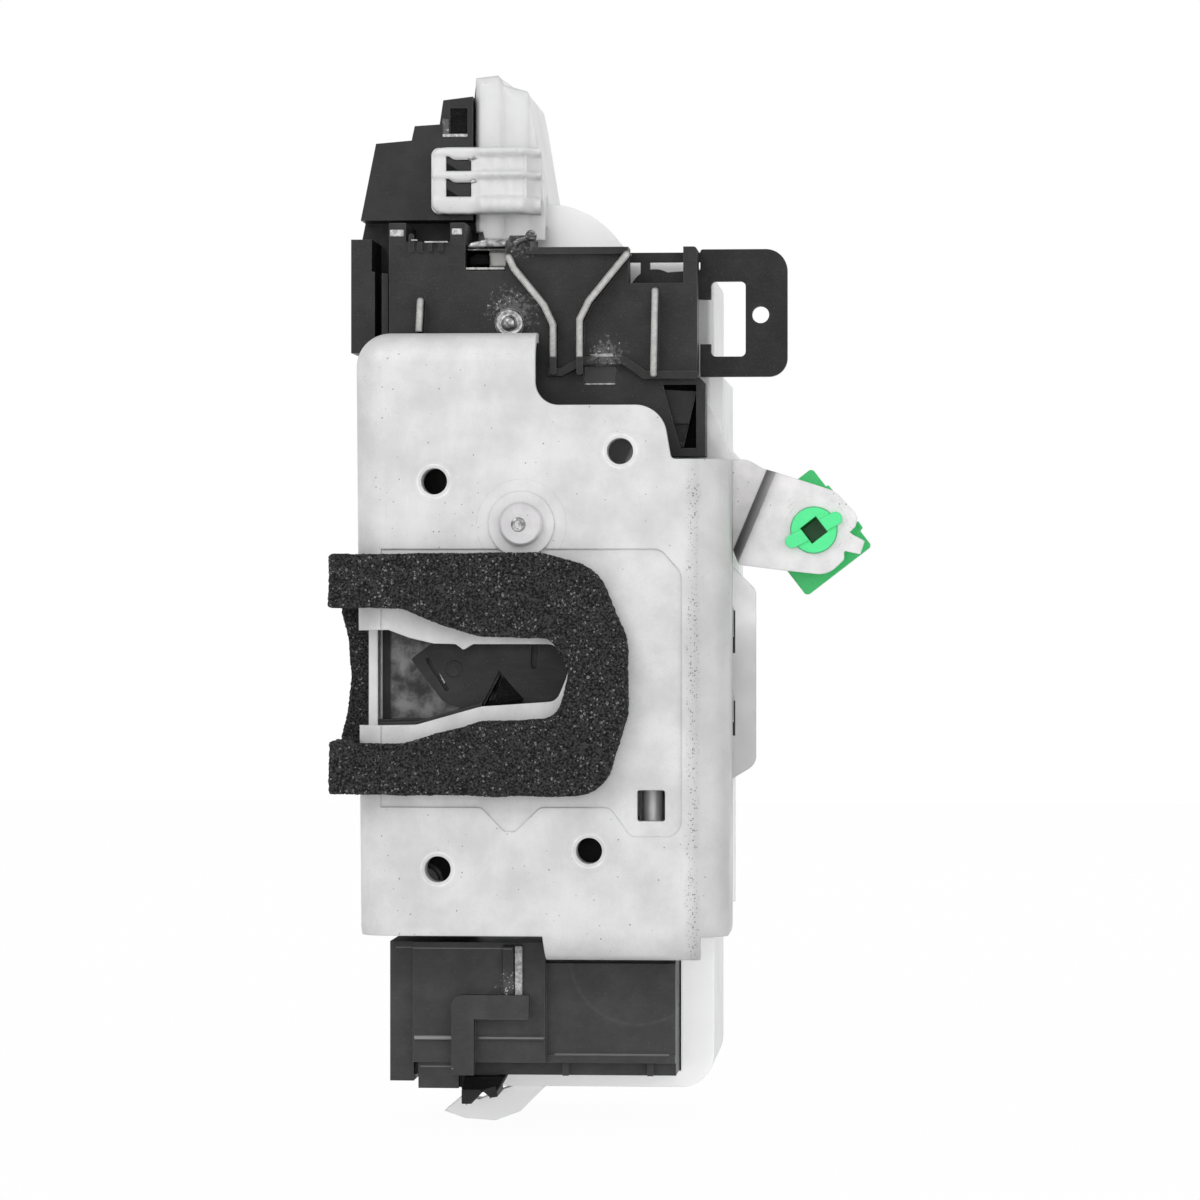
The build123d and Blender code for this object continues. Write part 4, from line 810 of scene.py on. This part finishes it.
def spread(low, high, count):
    return [low + (high - low) * step / count for step in range(count + 1)]


def ease(value, low, high):
    share = min(1, max(0, (value - low) / (high - low)))
    return share * share * (3 - 2 * share)


# %% [markdown]
# ### Front of the motor's cover
# The cover's upper arm is two half-round ducts side by side under a thin front wall. It is a soft shape with
# no flat on it, so it is a skin: a grid in X and Z, and a depth that adds the two ducts to a level wall and
# rolls back at the rims.

# %% Duct skin
duct_left, duct_right = 5.75, 19.3
duct_level = 23.9


def duct_top(x):
    if x < 10.1:
        return 79.35 + 0.12 * (x - duct_left)
    if x < 11.4:
        return 79.85 - 1.9 * ease(x, 10.1, 11.4)
    if x < 16.0:
        return 77.95 - 0.28 * (x - 11.4)
    return 76.65 - 6.05 * (x - 16.0)


def duct_bottom(x):
    return 49.2 - 1.6 * ease(x, 7.3, 7.6)


def duct_place(x, share):
    z = duct_bottom(x) + share * (duct_top(x) - duct_bottom(x))
    lobes = sum(bulge * math.sqrt(max(0.0, 1 - ((x - middle) / half) ** 2))
                for middle, half, bulge in ((8.4, 2.7, 1.5), (13.7, 2.5, 1.1)))
    rim = ease(duct_top(x) - z, 0.0, 1.6) * ease(x, duct_left, duct_left + 0.8)
    return x, duct_level - lobes * rim, z


skin_piece("cover_duct_skin", spread(duct_left, duct_right, 54), spread(0, 1, 60), duct_place,
           lambda x, share: False, 0.9, natural_plastic)

# %% [markdown]
# ### Locking frame
# A rounded frame on the cover's arm snaps over two hooks of the black base. Three soft bars cross it and run
# on as humps into the ducts. The skin's grid lines fall on the two windows, so leaving out those faces cuts
# them cleanly, and the top edge of each window dips where the hook slides in.

# %% Frame skin and its hooks
frame_left, window_left, window_right, frame_right = -2.6, 0.3, 5.2, 18.6
heights = [52.5, 55.9, 59.4, 60.9, 63.8, 65.5]
frame_bottom, frame_top = heights[0], heights[-1]
bars = list(zip(heights[0::2], heights[1::2]))
windows = list(zip(heights[1::2], heights[2::2]))
window_tops = [high for low, high in windows]
frame_level = 19.72
frame_corner = 2.3


def frame_edge(z):
    near_rim = max(0.0, z - (frame_top - frame_corner), frame_bottom + frame_corner - z)
    return frame_left + frame_corner - math.sqrt(frame_corner ** 2 - near_rim ** 2)


def frame_place(x, z):
    dip = 0.75 * ease(x, 0.4, 2.1) * ease(x, 7.5, 5.4) if z in window_tops else 0.0
    swell = 0.0
    for low, high in bars:
        off = (z - (low + high) / 2) / ((high - low) / 2)
        swell = max(swell, math.sqrt(max(0.0, 1 - off * off)))
    height = 0.35 + 1.35 * ease(x, 4.5, 9.0)
    level = frame_level - height * swell - 0.5 * ease(x, 5.4, 7.5) * math.sin(1.1 * x) ** 2
    if x < window_left:
        edge = frame_edge(z)
        x = edge + (x - frame_left) / (window_left - frame_left) * (window_left - edge)
        level = level + 0.3 * ease(x, edge + 0.8, edge)
    return x, level + 4.3 * ease(x, 14.6, 18.4), z - dip


def in_window(x, z):
    return window_left < x < window_right and any(low < z < high for low, high in windows)


frame_columns = spread(frame_left, window_left, 6) + spread(window_left, window_right, 10)[1:]
frame_columns += spread(window_right, frame_right, 34)[1:]
frame_rows = [frame_bottom]
for low, high, count in zip(heights, heights[1:], (12, 6, 6, 5, 7)):
    frame_rows += spread(low, high, count)[1:]
skin_piece("locking_frame_skin", frame_columns, frame_rows, frame_place, in_window, 0.7, natural_plastic)
for number, (low, high) in enumerate(windows):
    hook = [(0.35, high - 0.1), (2.3, high - 0.95), (5.15, high - 0.85), (5.05, low + 0.1), (1.1, low + 0.1),
            (0.4, low + 1.3)]
    gap_shadow = [(0.3, low), (2.9, low), (0.35, low + 1.6)]
    plate_piece(f"base_hook_{number}", hook, 19.95, 22.0, 0.15, black_nylon)
    # Painted shadow: a black sheet fills the gap under each hook's slanted foot.
    plate_piece(f"base_hook_gap_shadow_{number}", gap_shadow, 19.9, 22.0, 0.05, deep_shade_black)

# %% [markdown]
# ### Socket in the base's top step
# A square socket opens in the top step of the black base. Its floor is out of the light, and its lower and
# left lips are rubbed pale.

# %% Base socket
plate_piece("base_socket_floor", corners_of(1.0, 4.1, 68.4, 73.2), 21.9, 23.4, 0.1, deep_shade_black)
plate_piece("base_socket_lip", corners_of(-0.6, 4.3, 67.7, 68.3), 21.5, 22.2, 0.15, rub_and_highlight_nylon)
plate_piece("base_socket_side", corners_of(-0.7, 0.7, 67.9, 71.4), 21.6, 22.3, 0.3, wet_nylon_with_glints)

# %% [markdown]
# ### Shield details
# Two posts stand at the shield's top, their caps pale with a painted highlight. Between them thin lips cross
# the comb, and a guide bar stands at the left. Right of them grease covers the end of the lock rod, a pale
# block and a black stop, and the rod's ball end shows above. Both rivet ends are greasy, and a crust of it has
# dried on the wall.

# %% Shield posts, comb lips and the notch with the greased rod end
high_bar = [(4.9, 45.5), (12.9, 45.6), (13.0, 46.9), (8.6, 47.1), (5.4, 46.4)]
stop = [(5.0, 42.5), (5.6, 42.1), (9.1, 42.3), (9.1, 44.4), (6.6, 44.6), (5.2, 43.8)]
# Painted highlights: pale caps on the posts.
plate_piece("post_cap_left", corners_of(-9.8, -7.1, 47.6, 48.9), 11.7, 12.2, 0.2, rub_and_highlight_nylon)
plate_piece("post_cap_right", corners_of(2.2, 4.2, 47.9, 49.1), 11.7, 12.2, 0.2, rub_and_highlight_nylon)
plate_piece("comb_lip_long", corners_of(-3.0, 1.5, 46.3, 46.6), 11.0, 12.2, 0.08, rub_and_highlight_nylon)
plate_piece("comb_lip_short", corners_of(-5.6, -4.4, 46.7, 46.95), 11.0, 12.2, 0.08, rub_and_highlight_nylon)
plate_piece("guide_bar", corners_of(-11.2, -10.1, 27.5, 39.7), 16.0, 29.9, 0.2, black_nylon)
plate_piece("guide_bar_top", corners_of(-11.4, -10.0, 39.6, 40.1), 15.8, 29.9, 0.12, rub_and_highlight_nylon)
plate_piece("notch_block", corners_of(8.9, 12.5, 42.0, 44.9), 17.0, 29.9, 0.3, white_acetal)
plate_piece("notch_stop", stop, 15.8, 29.9, 0.5, deep_shade_black)
plate_piece("notch_lip", corners_of(4.8, 12.4, 41.1, 41.6), 12.4, 14.2, 0.15, rub_and_highlight_nylon)
plate_piece("greased_bar_low", corners_of(4.9, 12.7, 44.9, 45.4), 14.0, 29.9, 0.2, wet_nylon_with_glints)
plate_piece("greased_bar_high", high_bar, 13.2, 29.9, 0.45, oily_metal)

# %% The rod's ball and neck, and the two rivets
ball = [(0.2, 9.3), (0.7, 9.45), (1.05, 9.9), (1.15, 10.4), (1.0, 11.0), (0.6, 11.4), (0.2, 11.5)]
dimple = [(0.1, -2.05), (0.5, -2.1), (0.9, -2.3), (1.15, -2.32), (1.4, -2.2), (1.5, -2.0)]
rivet = [(0.3, 8.9), (0.9, 9.05), (1.3, 9.6), (1.45, 10.4), (1.85, 10.5), (2.3, 10.0), (2.65, 10.3),
         (2.85, 10.8), (2.9, 11.6), (2.9, 12.0)]
neck = [(13.9, 46.2), (15.0, 47.0), (17.6, 47.9), (17.4, 46.8), (15.2, 45.9), (14.6, 45.0)]
turned_piece("rod_ball", ball, 17.7, 47.5, wet_nylon_with_glints)
plate_piece("rod_neck", neck, 10.4, 12.1, 0.35, wet_nylon_with_glints)
turned_piece("fork_rivet_dimple", dimple, 16.3, -8.3, oily_metal)
turned_piece("shield_rivet_head", rivet, 13.5, 30.7, oily_metal)

# %% Pocket with a painted shadow, slot lip with a painted highlight, and dried grease
crumbs = [(28.6, 24.7), (33.2, 24.9), (33.6, 24.2), (31.4, 23.8), (29.6, 24.4)]
# Painted shadow on the pocket's floor, and a painted highlight along the slot's lip.
plate_piece("pocket_floor_shadow", corners_of(41.8, 50.0, 5.8, 19.0), 17.3, 18.0, 0.1, deep_shade_black)
plate_piece("slot_lip", corners_of(27.9, 33.8, 18.8, 19.15), 11.6, 12.3, 0.12, rub_and_highlight_nylon)
plate_piece("dried_grease", crumbs, 11.93, 12.1, 0.03, rub_and_highlight_nylon)

# %% [markdown]
# ### Fork and connector details
# The fork's coat has a round gate mark and a triangular pocket whose floor is a painted shadow, and a pale
# sliver in its slot is a painted glint of the steel core. The clip's lugs end in two small tabs. Beside the
# connector's channel a pale seal strip shows, and two prongs hang under it, over a painted shadow at their
# root.
# The coat's front face stands at Y = 6.8 mm, and the marks are placed from there.

# %% Fork marks
coat = 6.8
pocket = [(12.6, -37.2), (10.6, -42.9), (16.7, -41.7)]
glint = [(0.1, -36.3), (0.5, -36.1), (1.5, -38.4), (1.2, -38.7)]
gate = [(0.2, coat - 0.03), (1.35, coat - 0.03), (1.5, coat - 0.1), (1.65, coat - 0.03), (1.7, coat + 0.3)]
# Painted shadow on the pocket's floor, and a painted glint in the slot.
plate_piece("fork_pocket_shadow", pocket, coat - 0.05, coat + 0.6, 0.04, deep_shade_black, body="fork")
plate_piece("fork_slot_glint", glint, coat + 0.25, coat + 1.2, 0.05, rub_and_highlight_nylon, "fork")
turned_piece("fork_gate_mark", gate, 3.1, -35.8, black_nylon, body="fork")

# %% Clip tabs, seal strip, prongs and the painted shadow at their root
tabs = {"clip_tab_top": [(73.7, -0.7), (74.5, -0.2), (75.9, -1.9), (75.0, -2.6)],
        "clip_tab_right": [(79.6, -7.6), (80.3, -7.2), (81.2, -8.5), (80.6, -9.3)]}
for name, outline in tabs.items():
    plate_piece(name, outline, 25.0, 29.0, 0.2, green_acetal, body="rod_clip")

plate_piece("seal_strip", corners_of(14.5, 15.9, -98.8, -89.2), 10.9, 12.2, 0.2, rub_and_highlight_nylon)
plate_piece("seal_strip_dark", corners_of(12.1, 14.3, -98.8, -89.2), 10.9, 12.2, 0.3, connector_nylon)
root_shadow = [(4.7, -114.6), (12.4, -114.6), (10.6, -117.8), (4.0, -117.4)]
prongs = {"prong_left": [(4.0, -117.1), (4.0, -119.9), (5.9, -119.9), (7.7, -118.0), (7.9, -117.1)],
          "prong_right": [(7.9, -117.2), (10.6, -116.4), (11.0, -118.5), (9.6, -118.7)]}
# Painted shadow: a black sheet at the prongs' root.
plate_piece("prong_root_shadow", root_shadow, 13.0, 26.0, 0.2, deep_shade_black)
for name, outline in prongs.items():
    plate_piece(name, outline, 12.6, 26.0, 0.2, lever_nylon)

# %% [markdown]
# ### Back of the motor's case
# The photograph doesn't show the back, so it has what such cases have: a lattice of low ribs that stiffens
# the big flat wall, round bosses over the two axles, four thread-forming screws, and snap loops that reach
# over the parting line onto wedges of the black base. Each rib is a flat outline made from its two ends.

# %% Lattice of ribs
wall_back = 76.0


def rib_piece(name, start, end, width, depth, material):
    start, end = Vector(start), Vector(end)
    along = (end - start).normalized()
    side = Vector((-along.y, along.x)) * width / 2
    outline = [tuple(corner) for corner in (start + side, start - side, end - side, end + side)]
    plate_piece(name, outline, wall_back - 0.5, wall_back + depth, 0.25, material)


left, right, low, middle, high = 10.5, 49.5, -52.5, -4.5, 41.0
centre = (left + right) / 2
cover_ribs = [((left, low), (left, high)), ((right, low), (right, high)), ((left, low), (right, low)),
              ((left, middle), (right, middle)), ((left, high), (right, high)),
              ((left, low), (right, middle)), ((left, middle), (right, low)),
              ((left, middle), (centre, high)), ((right, middle), (centre, high))]
for number, (start, end) in enumerate(cover_ribs):
    rib_piece(f"cover_back_rib_{number}", start, end, 1.3, 1.1, natural_plastic)
base_left, base_right = -11.0, 2.6
base_ribs = [((x, low), (x, high)) for x in (base_left, base_right)]
base_ribs += [((base_left, z), (base_right, z)) for z in (low, -28.0, middle, 18.0, high)]
for number, (start, end) in enumerate(base_ribs):
    rib_piece(f"base_back_rib_{number}", start, end, 1.2, 0.9, black_nylon)

# %% Bosses over the axles
boss_steps = [(0.42, 77.0), (0.48, 77.6), (0.62, 77.6), (0.7, 76.9), (0.86, 76.9), (0.92, 77.5), (1.0, 77.4),
              (1.04, 75.6)]
for name, z, radius in (("wheel_boss", middle, 9.5), ("motor_boss", -28.5, 6.5)):
    profile = [(0.3, 77.0)] + [(share * radius, y) for share, y in boss_steps]
    turned_piece(name, profile, centre, z, natural_plastic)

# %% Screws in their bosses
screw_boss = [(0.3, 77.6), (3.9, 77.6), (4.2, 77.3), (4.5, 75.6)]
screw_head = [(0.3, 78.5), (1.9, 78.5), (2.6, 78.2), (2.9, 77.6), (2.9, 77.2)]
hexagon = [(1.35 * math.cos(math.radians(60 * step)), 1.35 * math.sin(math.radians(60 * step)))
           for step in range(6)]
for number, (x, z) in enumerate(((left, low), (right, low), (left, high), (right - 3.5, high - 3.5))):
    turned_piece(f"back_screw_boss_{number}", screw_boss, x, z, natural_plastic)
    turned_piece(f"back_screw_{number}", screw_head, x, z, zinc_steel)
    # Painted shade: a black sheet on the hex socket's floor.
    socket = [(x + across, z + up) for across, up in hexagon]
    plate_piece(f"back_screw_socket_shade_{number}", socket, 77.9, 78.55, 0.03, deep_shade_black)

# %% Snap loops and their wedges
for number, z in enumerate((29.5, -16.0, -40.0)):
    for side in (-1, 1):
        arm_z = z + 3.4 * side
        rib_piece(f"snap_arm_{number}_{side}", (-4.2, arm_z), (8.5, arm_z), 1.8, 1.5, natural_plastic)
    rib_piece(f"snap_bridge_{number}", (-4.4, z - 4.2), (-4.4, z + 4.2), 1.9, 1.5, natural_plastic)
    wedge = corners_of(-3.3, 0.6, z - 2.2, z + 2.2)
    plate_piece(f"snap_wedge_{number}", wedge, wall_back - 0.5, wall_back + 1.7, 0.45, black_nylon)

# %% [markdown]
# ### Outer side of the case
# The wall towards the levers gets upright ribs over the motor, tied by two short cross ribs. The wall leans
# a little, so each rib is a quad in X and Z that follows it, with its width along Y.

# %% Side ribs
def wall_x(z):
    return 55.9 + 0.018 * (z - 5.0)


foot, top = wall_x(-47.0), wall_x(2.0)
lean = [(foot - 0.8, -47.0), (foot + 0.6, -45.0), (top + 0.9, 0.5), (top - 0.8, 3.0)]
rib_places = (31.0, 42.0, 53.0, 64.0)
for number, y in enumerate(rib_places):
    plate_piece(f"side_rib_{number}", lean, y - 0.65, y + 0.65, 0.25, natural_plastic)
for number, z in enumerate((-34.0, -12.0)):
    x = wall_x(z)
    across = [(x - 0.8, z - 0.7), (x + 0.8, z - 0.6), (x + 0.8, z + 0.6), (x - 0.8, z + 0.7)]
    plate_piece(f"side_cross_rib_{number}", across, rib_places[0], rib_places[-1], 0.2, natural_plastic)

# %% [markdown]
# ## Floor and light
# The latch stands on a pale floor in front of white. Four soft square lamps and an even world light it at a
# plain level, so a colour renders as it is written. The strongest lamp is at the upper left, and the others
# stand at the right, in front and behind. The camera sees white behind the latch, and so do glossy surfaces.

# %% Floor
floor_z = cad_box[0][2] - 0.2 * MM
floor_mesh = bpy.data.meshes.new("floor")
half = 1.5
floor_mesh.from_pydata(
    [(-half, -half, floor_z), (half, -half, floor_z), (half, half, floor_z), (-half, half, floor_z)],
    [], [(0, 1, 2, 3)])
floor = bpy.data.objects.new("floor", floor_mesh)
scene.collection.objects.link(floor)


def show_directly(tree, lighting, shown, strength, ending):
    rays = tree.nodes.new("ShaderNodeLightPath").outputs
    seen = maths(tree, "MAXIMUM", rays["Is Camera Ray"], rays["Is Glossy Ray"])
    seen = maths(tree, "MAXIMUM", seen, rays["Is Transmission Ray"])
    blend = tree.nodes.new("ShaderNodeMixShader")
    for value, socket in zip((times(tree, seen, strength), lighting, shown), blend.inputs):
        tree.links.new(value, socket)
    tree.links.new(blend.outputs["Shader"], tree.nodes[ending].inputs["Surface"])


pale_floor = bpy.data.materials.new("pale floor")
pale_floor.use_nodes = True
tree = pale_floor.node_tree
shader = tree.nodes["Principled BSDF"]
wire(tree, shader, Base_Color=(0.93, 0.93, 0.93, 1), Roughness=0.9)
glow = tree.nodes.new("ShaderNodeEmission")
show_directly(tree, shader.outputs["BSDF"], glow.outputs["Emission"], 0.97, "Material Output")
floor.data.materials.append(pale_floor)

# %% World and lamps
world = bpy.data.worlds.new("studio")
scene.world = world
world.use_nodes = True
tree = world.node_tree
room = tree.nodes["Background"]
white = (1, 1, 1, 1)
wire(tree, room, Color=white, Strength=0.62)
backdrop = tree.nodes.new("ShaderNodeBackground")
wire(tree, backdrop, Color=white)
show_directly(tree, room.outputs["Background"], backdrop.outputs["Background"], 1.0, "World Output")


def soft_lamp(name, place, size, power):
    data = bpy.data.lights.new(name, "AREA")
    data.shape = "SQUARE"
    data.size = size
    data.energy = power
    lamp = bpy.data.objects.new(name, data)
    lamp.location = place
    lamp.rotation_euler = (aim - Vector(place)).to_track_quat("-Z", "Y").to_euler()
    scene.collection.objects.link(lamp)


soft_lamp("key_lamp", (-0.55, -0.95, 0.75), 0.6, 4.2)
soft_lamp("fill_lamp", (0.95, -0.75, 0.15), 0.8, 2.2)
soft_lamp("front_lamp", (0.15, -1.3, -0.05), 0.9, 2.6)
soft_lamp("back_lamp", (0.1, 1.0, 0.9), 0.8, 3.0)
